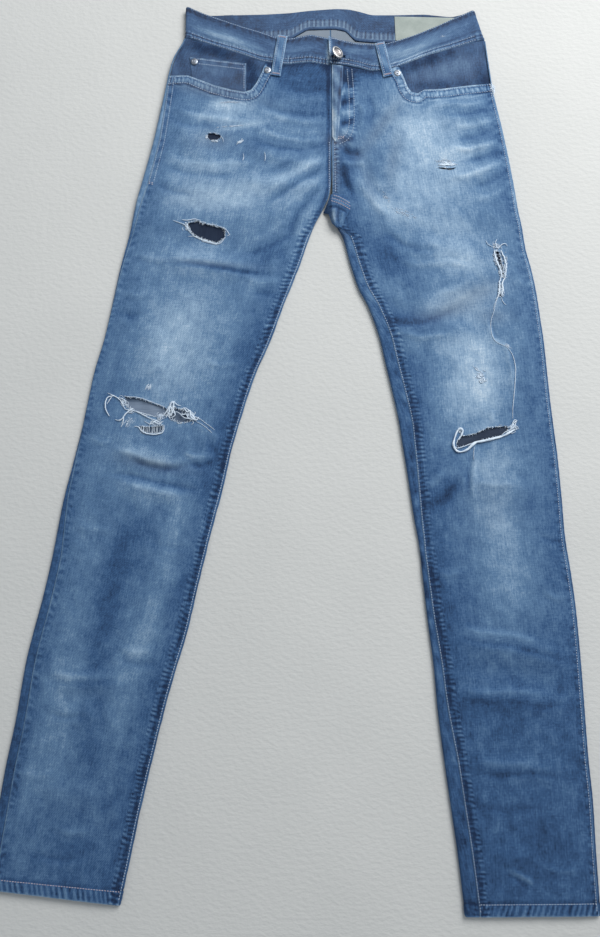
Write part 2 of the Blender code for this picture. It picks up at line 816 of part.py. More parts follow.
def inner_edge(leg, y):
    """The place of the leg's inner edge at this y."""
    low = 0.0
    high = leg.length
    for _ in range(SEARCH_STEPS):
        down = (low + high) / 2
        _, (_, inner_y) = leg.edges(down)
        if inner_y > y:
            low = down
        else:
            high = down
    _, (inner_x, _) = leg.edges(down)
    return inner_x


def make_crotch_fold(leg):
    """A fold that climbs from the gap between the legs onto the left leg."""
    outer = []
    inner = []
    for y, left, right in CROTCH_FOLD:
        edge = inner_edge(leg, y)
        climb_end = edge - CROTCH_FOLD_EDGE_GAP
        on_leg = surface_height(leg, edge + CROTCH_FOLD_LANDING, y) + SEAM_GAP
        top_row = []
        low_row = []
        for k in range(CROTCH_FOLD_STEPS + 1):
            share = k / CROTCH_FOLD_STEPS
            x = left + (right - left) * share
            if x < edge + CROTCH_FOLD_LANDING:
                climb = CROTCH_FOLD_SLOPE * max(climb_end - x, 0)
                base = max(on_leg - climb, CROTCH_FOLD_LOWEST)
            else:
                base = surface_height(leg, x, y) + SEAM_GAP
            rise = CROTCH_FOLD_THICKNESS + CROTCH_FOLD_RISE * math.sin(math.pi * share)
            top_row.append(Vector((x, y, base + rise)))
            low_row.append(Vector((x, y, base)))
        outer.append(top_row)
        inner.append(low_row)
    two_faced("crotch_fold", outer, inner, CLOTH["denim"])


def make_roll(leg):
    """A cord of rolled, frayed cloth along the lower edge of the knee rip."""
    sides = 6
    mesh_data = bmesh.new()
    rings = []
    count = len(ROLL_PATH)
    for i, (x, y) in enumerate(ROLL_PATH):
        before = ROLL_PATH[max(i - 1, 0)]
        after = ROLL_PATH[min(i + 1, count - 1)]
        along = Vector((after[0] - before[0], after[1] - before[1], 0)).normalized()
        across = Vector((along.y, -along.x, 0))
        radius = ROLL_RADIUS * (0.55 if i in (0, count - 1) else 1 - 0.15 * (i % 2))
        height = surface_height(leg, x, y) + 0.6 + ROLL_RADIUS
        centre = Vector((x, y, height))
        ring = []
        for k in range(sides):
            turn = 2 * math.pi * k / sides
            offset = across * (radius * math.cos(turn)) + Vector((0, 0, radius * math.sin(turn)))
            ring.append(mesh_data.verts.new((centre + offset) * MM))
        rings.append(ring)
    for ring, following in zip(rings, rings[1:]):
        for k in range(sides):
            j = (k + 1) % sides
            mesh_data.faces.new((ring[k], ring[j], following[j], following[k]))
    mesh_data.faces.new(rings[0])
    mesh_data.faces.new(rings[-1])
    bmesh.ops.recalc_face_normals(mesh_data, faces=mesh_data.faces)
    new_object("left_knee_rolled_edge", mesh_data, CLOTH["frayed_white"])


for leftover in list(bpy.data.objects):
    bpy.data.objects.remove(leftover)

CLOTH = {
    "denim": make_material("denim", (0.13, 0.24, 0.42), 0.9),
    "dark_cloth": make_material("dark_cloth", (0.02, 0.03, 0.06), 0.95),
    "pocket_cloth": make_material("pocket_cloth", (0.05, 0.09, 0.18), 0.92),
    "frayed_white": make_material("frayed_white", (0.8, 0.8, 0.78), 0.95),
    "label_cloth": make_material("label_cloth", (0.55, 0.62, 0.58), 0.8),
    "button_metal": make_material("button_metal", (0.5, 0.48, 0.45), 0.35, 1.0),
    "rivet_metal": make_material("rivet_metal", (0.55, 0.5, 0.46), 0.4, 1.0),
}

RIGHT = Leg(RIGHT_SECTIONS, RIGHT_INSETS, -SEAM_GAP / 2)
LEFT = Leg(LEFT_SECTIONS, LEFT_INSETS, SEAM_GAP / 2)
RIGHT_SIDE = -1
LEFT_SIDE = 1

# Levels under the front panel's outer face: a piece right under the panel, and
# the facing, which leaves room for the coin pocket
UNDER_PANEL = -(WALL + SEAM_GAP)
UNDER_COIN_POCKET = UNDER_PANEL - PIECE - SEAM_GAP

# Panels
make_leg_panels(
    "right", RIGHT, RIGHT_SIDE, RIGHT_TOP, RIGHT_SEAT_TOP,
    [HIP_HOLE, THIGH_HOLE, RIGHT_KNEE_SLIT, RIGHT_KNEE_HOLE],
)
make_leg_panels(
    "left", LEFT, LEFT_SIDE, LEFT_TOP, LEFT_SEAT_TOP, [SIDE_RIP, LEFT_KNEE_RIP],
)
make_waistband()

# Pieces that follow the front panels
for name, leg, side, level, outline, cloth in (
    ("pocket_facing_right", RIGHT, RIGHT_SIDE, UNDER_COIN_POCKET, RIGHT_FACING, "denim"),
    ("pocket_facing_left", LEFT, LEFT_SIDE, UNDER_COIN_POCKET, LEFT_FACING, "denim"),
    ("coin_pocket", RIGHT, RIGHT_SIDE, UNDER_PANEL, COIN_POCKET, "denim"),
    ("pocket_bag_right", RIGHT, RIGHT_SIDE, UNDER_PANEL, POCKET_BAG, "pocket_cloth"),
    ("right_knee_backing", RIGHT, RIGHT_SIDE, UNDER_PANEL, RIGHT_KNEE_PATCH, "dark_cloth"),
    ("side_rip_backing", LEFT, LEFT_SIDE, UNDER_PANEL, SIDE_PATCH, "dark_cloth"),
    ("left_knee_backing", LEFT, LEFT_SIDE, UNDER_PANEL, LEFT_KNEE_PATCH, "dark_cloth"),
):
    front_layer(name, leg, side, level, PIECE, outline, CLOTH[cloth])


def fly_bump(y):
    """The fly's edge puckers into soft bumps between its stitches."""
    return sum(FLY_BUMP * math.exp(-((y - place) / 9) ** 2) for place in FLY_BUMPS_Y)


front_layer(
    "fly_edge", LEFT, LEFT_SIDE, SEAM_GAP + FLY_THICKNESS, FLY_THICKNESS, FLY_EDGE,
    CLOTH["denim"], fly_bump,
)
make_roll(LEFT)
make_crotch_fold(LEFT)

# Back pockets, the label inside the back waistband, and the belt loops
flat_piece("back_pocket_right", RIGHT_BACK_POCKET, 0.0, POCKET_THICKNESS, CLOTH["denim"])
flat_piece("back_pocket_left", LEFT_BACK_POCKET, 0.0, POCKET_THICKNESS, CLOTH["denim"])
band_inside = BAND_BACK_Z + BAND_THICKNESS / 2 + SEAM_GAP
flat_piece("inner_label", LABEL, band_inside, LABEL_THICKNESS, CLOTH["label_cloth"])
over_band = BAND_FRONT_Z + BAND_THICKNESS / 2 + SEAM_GAP
for name, ends in FRONT_LOOPS.items():
    leg = RIGHT if ends[1][0] < CENTRE_X else LEFT
    foot = max(surface_height(leg, *ends[1]) + 2 * SEAM_GAP, over_band)
    profile = [(share, over_band + lift) for share, lift in LOOP_LIFTS]
    profile += [(LOOP_BEND, foot + LOOP_BEND_LIFT), (1, foot)]
    strip(name, ends, profile, LOOP_THICKNESS)
for name, ends in BACK_LOOPS.items():
    strip(name, ends, [(0, 0), (1, 0)], BACK_LOOP_THICKNESS)

# Button and rivets
turned(
    "waist_button", BUTTON_PROFILE, 24, (BUTTON_X, BUTTON_Y, BUTTON_FOOT),
    CLOTH["button_metal"], BUTTON_TILT,
)
for name, (x, y) in RIVETS.items():
    leg = RIGHT if x < CENTRE_X else LEFT
    seat = surface_height(leg, x, y) + SEAM_GAP + 0.1
    if name == "rivet_coin_pocket":
        seat += UNDER_PANEL
    turned(name, RIVET_PROFILE, 16, (x, y, seat), CLOTH["rivet_metal"])
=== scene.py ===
# %% [markdown]
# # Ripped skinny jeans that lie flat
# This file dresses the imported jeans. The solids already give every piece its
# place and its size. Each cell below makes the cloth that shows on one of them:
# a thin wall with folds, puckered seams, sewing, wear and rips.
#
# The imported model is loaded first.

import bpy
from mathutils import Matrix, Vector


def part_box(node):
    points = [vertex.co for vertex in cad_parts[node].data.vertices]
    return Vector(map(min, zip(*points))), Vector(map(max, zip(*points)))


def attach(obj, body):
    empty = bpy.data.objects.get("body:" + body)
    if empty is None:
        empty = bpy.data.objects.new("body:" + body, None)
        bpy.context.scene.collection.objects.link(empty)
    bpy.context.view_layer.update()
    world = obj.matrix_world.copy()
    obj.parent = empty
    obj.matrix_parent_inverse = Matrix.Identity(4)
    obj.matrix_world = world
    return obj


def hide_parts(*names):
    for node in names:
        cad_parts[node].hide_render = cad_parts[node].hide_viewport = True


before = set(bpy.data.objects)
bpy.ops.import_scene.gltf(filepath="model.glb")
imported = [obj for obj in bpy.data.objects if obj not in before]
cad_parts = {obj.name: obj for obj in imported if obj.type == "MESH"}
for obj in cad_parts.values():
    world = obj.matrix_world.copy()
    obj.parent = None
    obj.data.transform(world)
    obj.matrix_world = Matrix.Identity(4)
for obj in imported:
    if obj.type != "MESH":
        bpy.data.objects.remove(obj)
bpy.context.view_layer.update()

# %% Helpers from Blender and Python
import math
import random
from collections import namedtuple

import bpy
import numpy as np
from mathutils import Matrix, Vector, noise
from mathutils.bvhtree import BVHTree

MM = 0.001
scene = bpy.context.scene

# %% [markdown]
# ## The camera
# The photo was taken from just under one metre above, leaning a little towards
# the waist. A lens can be named in millimetres, or by how many pixels away the
# picture plane would be. The second is easier to measure from a photo, so the
# lens length is worked out from it.

# %% Camera
FRAME_HEIGHT = 937
FOCAL_PIXELS = 800
SENSOR = 36.0

camera_data = bpy.data.cameras.new("photo_camera")
camera_data.sensor_width = SENSOR
camera_data.lens = SENSOR * FOCAL_PIXELS / FRAME_HEIGHT
camera = bpy.data.objects.new("photo_camera", camera_data)
camera.location = (0.010, -0.176, 0.968)
camera.rotation_euler = (math.radians(7.5), 0, 0)
scene.collection.objects.link(camera)
scene.camera = camera
print("lens:", round(camera_data.lens, 2), "mm")

# %% [markdown]
# ## Small helpers for materials
# A procedural material is a small chain of nodes. Writing each node on one line
# keeps such a chain as easy to read as a recipe.

# %% Node helpers


def add(tree, kind, inputs=None, **settings):
    """A new shader node with its settings, and its inputs set or linked."""
    made = tree.nodes.new("ShaderNode" + kind)
    for key, value in settings.items():
        setattr(made, key, value)
    for key, value in (inputs or {}).items():
        if isinstance(value, bpy.types.NodeSocket):
            tree.links.new(value, made.inputs[key])
        else:
            made.inputs[key].default_value = value
    return made


def maths(tree, operation, first, second, third=0.0):
    """One step of arithmetic."""
    return add(tree, "Math", {0: first, 1: second, 2: third}, operation=operation).outputs[0]


def mixed(tree, share, low, high):
    """A colour between two others."""
    return add(tree, "Mix", {0: share, 6: low, 7: high}, data_type="RGBA").outputs[2]


def stepped(tree, value, low, high):
    """A soft step from 0 at low to 1 at high."""
    limits = {"Value": value, "From Min": low, "From Max": high}
    return add(tree, "MapRange", limits, interpolation_type="SMOOTHSTEP").outputs[0]


def grain(tree, place, scale, detail=2.0):
    """Noise that can be stretched: scale has one value for each direction."""
    moved = add(tree, "Mapping", {"Vector": place, "Scale": (*scale, 1.0)})
    made = add(tree, "TexNoise", {"Vector": moved.outputs[0], "Scale": 1.0, "Detail": detail})
    return made.outputs["Fac"]


def new_material(name, roughness, metallic=0.0, sheen=0.0, specular=0.5):
    made = bpy.data.materials.new(name)
    made.use_nodes = True
    shader = made.node_tree.nodes["Principled BSDF"]
    shader.inputs["Roughness"].default_value = roughness
    shader.inputs["Metallic"].default_value = metallic
    shader.inputs["Specular IOR Level"].default_value = specular
    shader.inputs["Sheen Weight"].default_value = sheen
    shader.inputs["Sheen Roughness"].default_value = 0.6
    return made, made.node_tree, shader


def add_bump(tree, shader, height, strength, depth):
    made = add(tree, "Bump", {"Strength": strength, "Distance": depth, "Height": height})
    tree.links.new(made.outputs[0], shader.inputs["Normal"])


# %% [markdown]
# ## Floor and light
# The jeans lie on a plain pale cover in soft daylight that comes from the upper
# right. One very large lamp gives soft shadows, and the world fills them.

# %% Floor and light
FLOOR_SIZE = 6.0
FLOOR_DEPTH = -0.0004

bpy.ops.object.select_all(action="DESELECT")
bpy.ops.mesh.primitive_plane_add(size=FLOOR_SIZE, location=(0, 0, FLOOR_DEPTH))
floor = bpy.context.object
floor.name = "floor"
floor_finish, tree, shader = new_material("floor_cover", 0.9)
where = add(tree, "TexCoord").outputs["Object"]
soft = grain(tree, where, (9, 9), 3)
pebble = grain(tree, where, (140, 230), 3)
cover = mixed(tree, soft, (0.555, 0.563, 0.553, 1), (0.615, 0.62, 0.608, 1))
tree.links.new(cover, shader.inputs["Base Color"])
add_bump(tree, shader, pebble, 0.35, 0.002)
floor.data.materials.append(floor_finish)

lamp_data = bpy.data.lights.new("window_light", "AREA")
lamp_data.shape = "RECTANGLE"
lamp_data.size = 1.6
lamp_data.size_y = 1.4
lamp_data.energy = 66
lamp_data.color = (1.0, 0.99, 0.97)
lamp = bpy.data.objects.new("window_light", lamp_data)
lamp.location = (1.1, 1.5, 1.6)
lamp.rotation_euler = (Vector((0.0, 0.1, 0.0)) - lamp.location).to_track_quat("-Z", "Y").to_euler()
scene.collection.objects.link(lamp)

world = bpy.data.worlds.new("room_light")
world.use_nodes = True
sky = world.node_tree.nodes["Background"]
sky.inputs["Color"].default_value = (0.86, 0.93, 1.0, 1)
sky.inputs["Strength"].default_value = 0.42
scene.world = world
scene.view_settings.view_transform = "Standard"
print("floor and light are in place")

# %% [markdown]
# ## The shape of a leg
# A leg that lies flat is a tube with a rounded fold at each side. Each row of a
# table below is one section across the leg: its outer edge and its inner edge,
# in millimetres. A smooth curve through the rows gives any section between them,
# and a place round the section is a distance from the outer edge. These are the
# sizes that the solids were made from, so the cloth lies on them.

# %% Sizes that the solids were made from
WALL = 1.0
HEM_DEPTH = 15.0
SEAM_GAP = 0.3
EDGE_RADIUS = 2.8
EDGE_ARC = EDGE_RADIUS * math.pi / 2
LEG_HEIGHT = 5.2
SEAT_HEIGHT = 6.2
SEAT_LIFT = 1.5
CROWN = 0.8
CROWN_RUN = 30.0
CENTRE_X = 50.0
CROTCH_Y = 296.0
CROTCH_RUN = 34.0

RIGHT_SECTIONS = [
    (-139, 535, 50, 535), (-142, 515, 50, 500), (-156, 486, 50, 455), (-167, 432, 50, 391),
    (-179, 370, 50, 350), (-192, 316, 49, 312), (-197, 296, 44, 292), (-205, 252, 25, 253),
    (-215, 209, 11, 212), (-225, 157, -9, 160), (-234, 112, -27, 110), (-244, 74, -46, 65),
    (-251, 36, -59, 24), (-258, -4, -73, -26), (-266, -42, -83, -72), (-276, -87, -96, -124),
    (-287, -156, -112, -193), (-297, -207, -124, -247), (-305, -241, -134, -281),
    (-313, -279, -144, -317), (-322, -345, -158, -376), (-331, -396, -168, -420),
    (-338, -446, -177, -463), (-345, -495, -185, -505), (-351, -531, -194, -549),
]
LEFT_SECTIONS = [
    (250, 535, 50, 535), (252, 514, 50, 483), (256, 477, 50, 439), (261, 437, 50, 394),
    (270, 391, 50.5, 350), (277, 350, 51, 316), (283, 309, 51, 290), (287, 278, 54, 264),
    (291, 258, 64, 245), (295, 229, 73, 211), (301, 203, 83, 179), (306, 174, 95, 155),
    (310, 138, 108, 117), (313, 110, 115, 85), (316, 64, 123, 49), (318, 34, 130, 15),
    (321, -1, 135, -19), (324, -34, 140, -53), (327, -87, 147, -106), (329, -132, 153, -143),
    (334, -174, 157, -186), (338, -215, 161, -228), (341, -271, 167, -281), (343, -327, 171, -336),
    (345, -387, 177, -390), (348, -435, 183, -438), (349, -491, 190, -493), (351, -560, 197, -561),
]

# y, and how far the side seam and the inseam lie in from the edges there
RIGHT_INSETS = [
    (540, 3, 0.3), (432, 4, 0.3), (365, 9, 0.3), (312, 10, 0.3), (240, 5, 3), (150, 1, 3), (0, 1, 3),
    (-100, 6, 3), (-170, 12, 3), (-560, 13, 3),
]
LEFT_INSETS = [
    (540, 2, 0.3), (430, 3, 0.3), (290, 4, 0.3), (260, 4, 11), (199, 4, 13), (128, 4, 16), (12, 4, 17),
    (-70, 4, 12), (-143, 4, 7), (-229, 4, 9), (-309, 4, 12), (-390, 4, 17), (-560, 4, 18),
]
print("sections:", len(RIGHT_SECTIONS), "and", len(LEFT_SECTIONS))

# %% [markdown]
# ## Folds and creases
# Cloth that lies flat keeps a few large folds and many small creases. They could
# come from a cloth simulation, but then nobody could choose where they lie. Here
# each one is placed one by one: a line with a width and a height, where a height
# below zero is a trough. Their sum is a soft relief.

# %% The large folds, which the solids have too
FOLDS = [
    # From x, y to x, y, then the width and the height
    (45, 336, -62, 362, 10, 1.8), (44, 312, -75, 318, 11, 2.2), (-165, 214, -40, 200, 13, 2.8),
    (-160, 240, -40, 228, 13, -1.3), (-150, 400, -95, 330, 14, 1.6), (-165, 130, -175, 60, 16, 1.5),
    (-214, -30, -140, -42, 12, 2.6), (-205, -52, -135, -62, 12, -1.1), (-206, -72, -130, -82, 12, 2),
    (-276, -303, -200, -300, 12, 1.9), (-280, -338, -225, -338, 12, 1.4),
    (-290, -420, -215, -430, 14, 1.2), (66, 352, 78, 308, 11, 2), (92, 350, 100, 310, 13, -1.3),
    (262, 412, 185, 398, 11, 1.4), (268, 380, 180, 352, 11, 1.8), (274, 342, 190, 318, 11, 1.8),
    (136, 232, 240, 226, 16, 2.4), (110, 150, 165, 146, 16, -1.4), (175, 150, 250, 190, 16, -1.4),
    (120, 116, 225, 128, 16, 2.4), (180, -62, 296, -74, 14, 1.6), (190, -252, 322, -274, 12, 2.4),
    (200, -286, 330, -302, 12, -1.1), (198, -318, 330, -328, 12, 2.2), (206, -395, 318, -402, 12, 2),
    (228, -499, 292, -497, 12, 1.6),
]

# %% The small creases of the front
CREASE_SCALE = 1.5
# The width and the height of each crease, and its path
CREASES = [
    # Whiskers that fan out from the crotch over the right hip
    (4, 0.8, [(47, 352), (20, 338), (-12, 318), (-40, 300)]),
    (3.5, -0.8, [(47, 342), (22, 326), (-8, 306), (-34, 288)]),
    (4, 0.7, [(46, 330), (24, 312), (0, 292), (-20, 268)]),
    (4, -0.7, [(42, 316), (22, 296), (4, 272), (-8, 246)]),
    (4.5, 0.6, [(30, 294), (14, 268), (4, 240)]),
    (3.5, 0.6, [(46, 376), (14, 372), (-18, 378), (-48, 392)]),
    (3.5, -0.6, [(46, 368), (12, 360), (-22, 364), (-56, 376)]),
    (4, 0.6, [(46, 400), (18, 398), (-14, 404), (-40, 412)]),
    (3.5, -0.6, [(46, 410), (16, 408), (-16, 414), (-44, 424)]),
    (4, 0.5, [(46, 432), (16, 428), (-12, 430)]),
    (3.5, -0.5, [(46, 446), (18, 442), (-10, 444)]),
    (4, 0.6, [(44, 462), (14, 456), (-14, 460)]),
    # The right thigh
    (4, 0.7, [(-158, 420), (-128, 408), (-96, 404), (-60, 398), (-30, 402)]),
    (4, -0.6, [(-160, 404), (-130, 394), (-98, 396)]),
    (4, 0.5, [(-170, 360), (-140, 344), (-104, 340), (-70, 344), (-30, 338)]),
    (4, -0.6, [(-172, 344), (-138, 330), (-100, 326), (-60, 328)]),
    (3.5, -0.5, [(-178, 318), (-150, 304), (-120, 300)]),
    (3, -1.1, [(-152, 211), (-128, 210), (-96, 206), (-64, 199), (-30, 196)]),
    (4, 0.6, [(-196, 222), (-168, 214), (-150, 217)]),
    (4, 0.5, [(-60, 238), (-36, 246), (-14, 262), (4, 284)]),
    (4, -0.6, [(-64, 222), (-34, 228), (-6, 246), (14, 272)]),
    (4, 0.5, [(-56, 188), (-36, 184), (-14, 190)]),
    (3.5, -0.5, [(-50, 174), (-34, 170), (-18, 172)]),
    (4, 0.5, [(-218, 176), (-196, 168), (-178, 170)]),
    (4, -0.5, [(-224, 150), (-200, 142), (-184, 146)]),
    (3.5, 0.5, [(-110, 84), (-88, 78), (-62, 84)]),
    # The right knee
    (3.5, 0.8, [(-222, -24), (-196, -30), (-172, -40), (-146, -44), (-126, -34)]),
    (3, -1, [(-206, -36), (-182, -44), (-160, -50), (-140, -50), (-120, -44)]),
    (3.5, 0.8, [(-134, -28), (-116, -36), (-98, -34)]),
    (3, -1, [(-128, -44), (-110, -46), (-92, -40)]),
    (3, -1, [(-224, -54), (-196, -58), (-166, -66), (-138, -72), (-108, -76)]),
    (4, 0.7, [(-214, -64), (-184, -72), (-150, -80), (-120, -84)]),
    (3.5, 0.6, [(-246, -12), (-232, -18), (-220, -16)]),
    (3.5, 0.5, [(-118, 6), (-100, -6), (-86, -14)]),
    (3.5, -0.6, [(-104, -16), (-94, -26), (-88, -40)]),
    # The right calf
    (4, 0.4, [(-262, -118), (-240, -124), (-214, -122)]),
    (4, -0.4, [(-170, -138), (-146, -146), (-122, -144)]),
    (3, -0.4, [(-284, -300), (-262, -304), (-232, -302), (-196, -300)]),
    (3, 0.6, [(-284, -292), (-256, -295), (-226, -293)]),
    (3.5, -0.6, [(-286, -338), (-262, -342), (-236, -340)]),
    (4, 0.5, [(-206, -262), (-184, -268), (-160, -264)]),
    (4, -0.5, [(-204, -276), (-182, -282), (-158, -280)]),
    (4, 0.4, [(-322, -402), (-296, -408), (-268, -404)]),
    (3.5, 0.4, [(-280, -462), (-250, -470), (-220, -466)]),
    (3.5, -0.4, [(-300, -492), (-262, -500), (-230, -496)]),
    # The left hip: whiskers from the outer side, and the dent by the crotch
    (3.5, 0.7, [(256, 430), (228, 422), (196, 424), (170, 416)]),
    (3.5, -0.7, [(260, 418), (230, 410), (198, 408)]),
    (3.5, 0.7, [(262, 404), (236, 394), (206, 392)]),
    (3.5, -0.7, [(264, 392), (238, 380), (210, 374)]),
    (3, 0.9, [(268, 376), (248, 366), (222, 360), (204, 364)]),
    (3.5, -0.7, [(270, 364), (246, 352), (220, 344)]),
    (3.5, 0.8, [(274, 350), (250, 336), (224, 326), (196, 322)]),
    (3.5, -0.7, [(276, 334), (252, 318), (228, 308)]),
    (3.5, 0.6, [(278, 316), (254, 300), (230, 292)]),
    (5, -1.6, [(62, 366), (74, 358), (90, 356)]),
    (4, 1, [(58, 346), (74, 340), (96, 344)]),
    (3.5, -0.8, [(62, 332), (70, 314), (80, 298)]),
    (4, 0.6, [(82, 330), (92, 306), (108, 284), (126, 268)]),
    (4, -0.6, [(96, 330), (106, 308), (122, 290)]),
    (3.5, 0.5, [(84, 432), (92, 410), (88, 388)]),
    (3.5, -0.5, [(96, 440), (104, 416), (100, 390)]),
    # The left thigh
    (4.5, -0.7, [(118, 252), (136, 236), (158, 228), (190, 228)]),
    (4, 0.6, [(130, 218), (158, 208), (196, 212), (232, 204)]),
    (4, -0.7, [(112, 140), (138, 132), (166, 134), (200, 150), (236, 178)]),
    (3.5, 0.7, [(130, 122), (160, 114), (196, 118)]),
    (4, 0.6, [(176, 168), (204, 176), (232, 196)]),
    (3.5, -0.5, [(276, 210), (288, 200), (298, 204)]),
    (3.5, 0.6, [(280, 190), (292, 182), (302, 184)]),
    (3, 0.6, [(244, 158), (243, 134), (250, 112), (266, 102), (271, 70), (272, 24)]),
    (2.5, -0.6, [(247, 154), (247, 132), (255, 108)]),
    # The left knee
    (3, 0.6, [(246, 24), (244, 8)]),
    (3, 0.7, [(226, -26), (222, -44), (219, -70), (218, -92)]),
    (3, -0.6, [(220, -28), (214, -50), (212, -80)]),
    (5, -0.7, [(206, -58), (190, -78), (178, -90), (166, -96)]),
    (4, 0.7, [(160, -74), (172, -66), (186, -52)]),
    (3, 0.5, [(222, -66), (246, -70), (270, -68)]),
    # The left calf
    (3.5, -0.7, [(192, -248), (220, -256), (256, -259), (290, -268), (332, -280)]),
    (3.5, 0.8, [(196, -238), (226, -245), (258, -248), (298, -257)]),
    (3.5, -0.6, [(186, -318), (216, -326), (256, -324), (296, -330), (330, -326)]),
    (3.5, 0.7, [(190, -308), (220, -314), (258, -312), (300, -316)]),
    (3.5, -0.6, [(206, -402), (240, -408), (276, -404), (318, -410)]),
    (3.5, 0.6, [(212, -390), (246, -394), (282, -392)]),
    (3.5, -0.4, [(210, -440), (246, -446), (290, -442)]),
    (2.5, 0.8, [(250, -510), (262, -516), (276, -525)]),
    (2.5, -0.7, [(244, -514), (258, -522), (270, -530)]),
    (3, 0.6, [(286, -506), (304, -512), (330, -510)]),
    (3.5, 0.5, [(166, -170), (186, -178), (208, -174)]),
    (3.5, -0.5, [(296, -130), (312, -138), (326, -134)]),
    (3.5, 0.5, [(300, -198), (316, -206), (332, -202)]),
]
print("folds:", len(FOLDS), "creases:", len(CREASES))

# %% Reading a relief from lines


def smooth(start, end, value):
    """A soft step from 0 at start to 1 at end."""
    share = np.clip((value - start) / (end - start), 0, 1)
    return share * share * (3 - 2 * share)


def bell(away, width):
    """1 on a line, and softly less beside it."""
    return np.exp(-(away / width) ** 2)


def run_along(points):
    """How far along a line each of its points lies."""
    return np.concatenate([[0], np.cumsum(np.linalg.norm(np.diff(points, axis=0), axis=1))])


def evened(run, values):
    """Values along a line, each averaged softly with those beside it."""
    weight = bell(run[:, None] - run[None, :], 5)
    return (weight / weight.sum(axis=1, keepdims=True)) @ values


def near_path(path, x, y):
    """How far each place lies from a path, on which side, and how far along it."""
    best = np.full(np.shape(x), 1e9)
    side = np.ones(np.shape(x))
    run = np.zeros(np.shape(x))
    length = 0.0
    for (x1, y1), (x2, y2) in zip(path, path[1:]):
        step_x, step_y = x2 - x1, y2 - y1
        size = math.hypot(step_x, step_y)
        share = np.clip(((x - x1) * step_x + (y - y1) * step_y) / size ** 2, 0, 1)
        away = np.hypot(x - x1 - share * step_x, y - y1 - share * step_y)
        closer = away < best
        best = np.where(closer, away, best)
        run = np.where(closer, length + share * size, run)
        left = (step_x * (y - y1) - step_y * (x - x1)) >= 0
        side = np.where(closer, np.where(left, 1.0, -1.0), side)
        length += size
    return best, side, run / length


def distance(path, x, y):
    return near_path(path, x, y)[0]


def fold_height(x, y):
    """What the large folds add at each place."""
    total = np.zeros(np.shape(x))
    for x1, y1, x2, y2, width, height in FOLDS:
        run_x, run_y = x2 - x1, y2 - y1
        length = math.hypot(run_x, run_y)
        along = ((x - x1) * run_x + (y - y1) * run_y) / length ** 2
        across = ((y - y1) * run_x - (x - x1) * run_y) / length
        total += height * (smooth(-0.1, 0.3, along) * smooth(1.1, 0.7, along)) * bell(across, width)
    return total


def crease_height(creases, x, y):
    """What the small creases add at each place."""
    total = np.zeros(np.shape(x))
    for width, height, path in creases:
        xs, ys = zip(*path)
        reach = 3 * width
        close = (x > min(xs) - reach) & (x < max(xs) + reach)
        close &= (y > min(ys) - reach) & (y < max(ys) + reach)
        if not close.any():
            continue
        away, _, along = near_path(path, x[close], y[close])
        taper = smooth(0, 0.25, along) * smooth(1, 0.75, along)
        total[close] += height * (0.15 + 0.85 * taper) * bell(away, width)
    return total


def crumple(x, y, size, seed):
    """A gentle uneven relief between -1 and 1, the same on every run."""
    places = zip(np.ravel(x) / size, np.ravel(y) / size)
    values = [noise.noise(Vector((a, b, seed))) for a, b in places]
    return np.array(values).reshape(np.shape(x))


# %% The leg itself


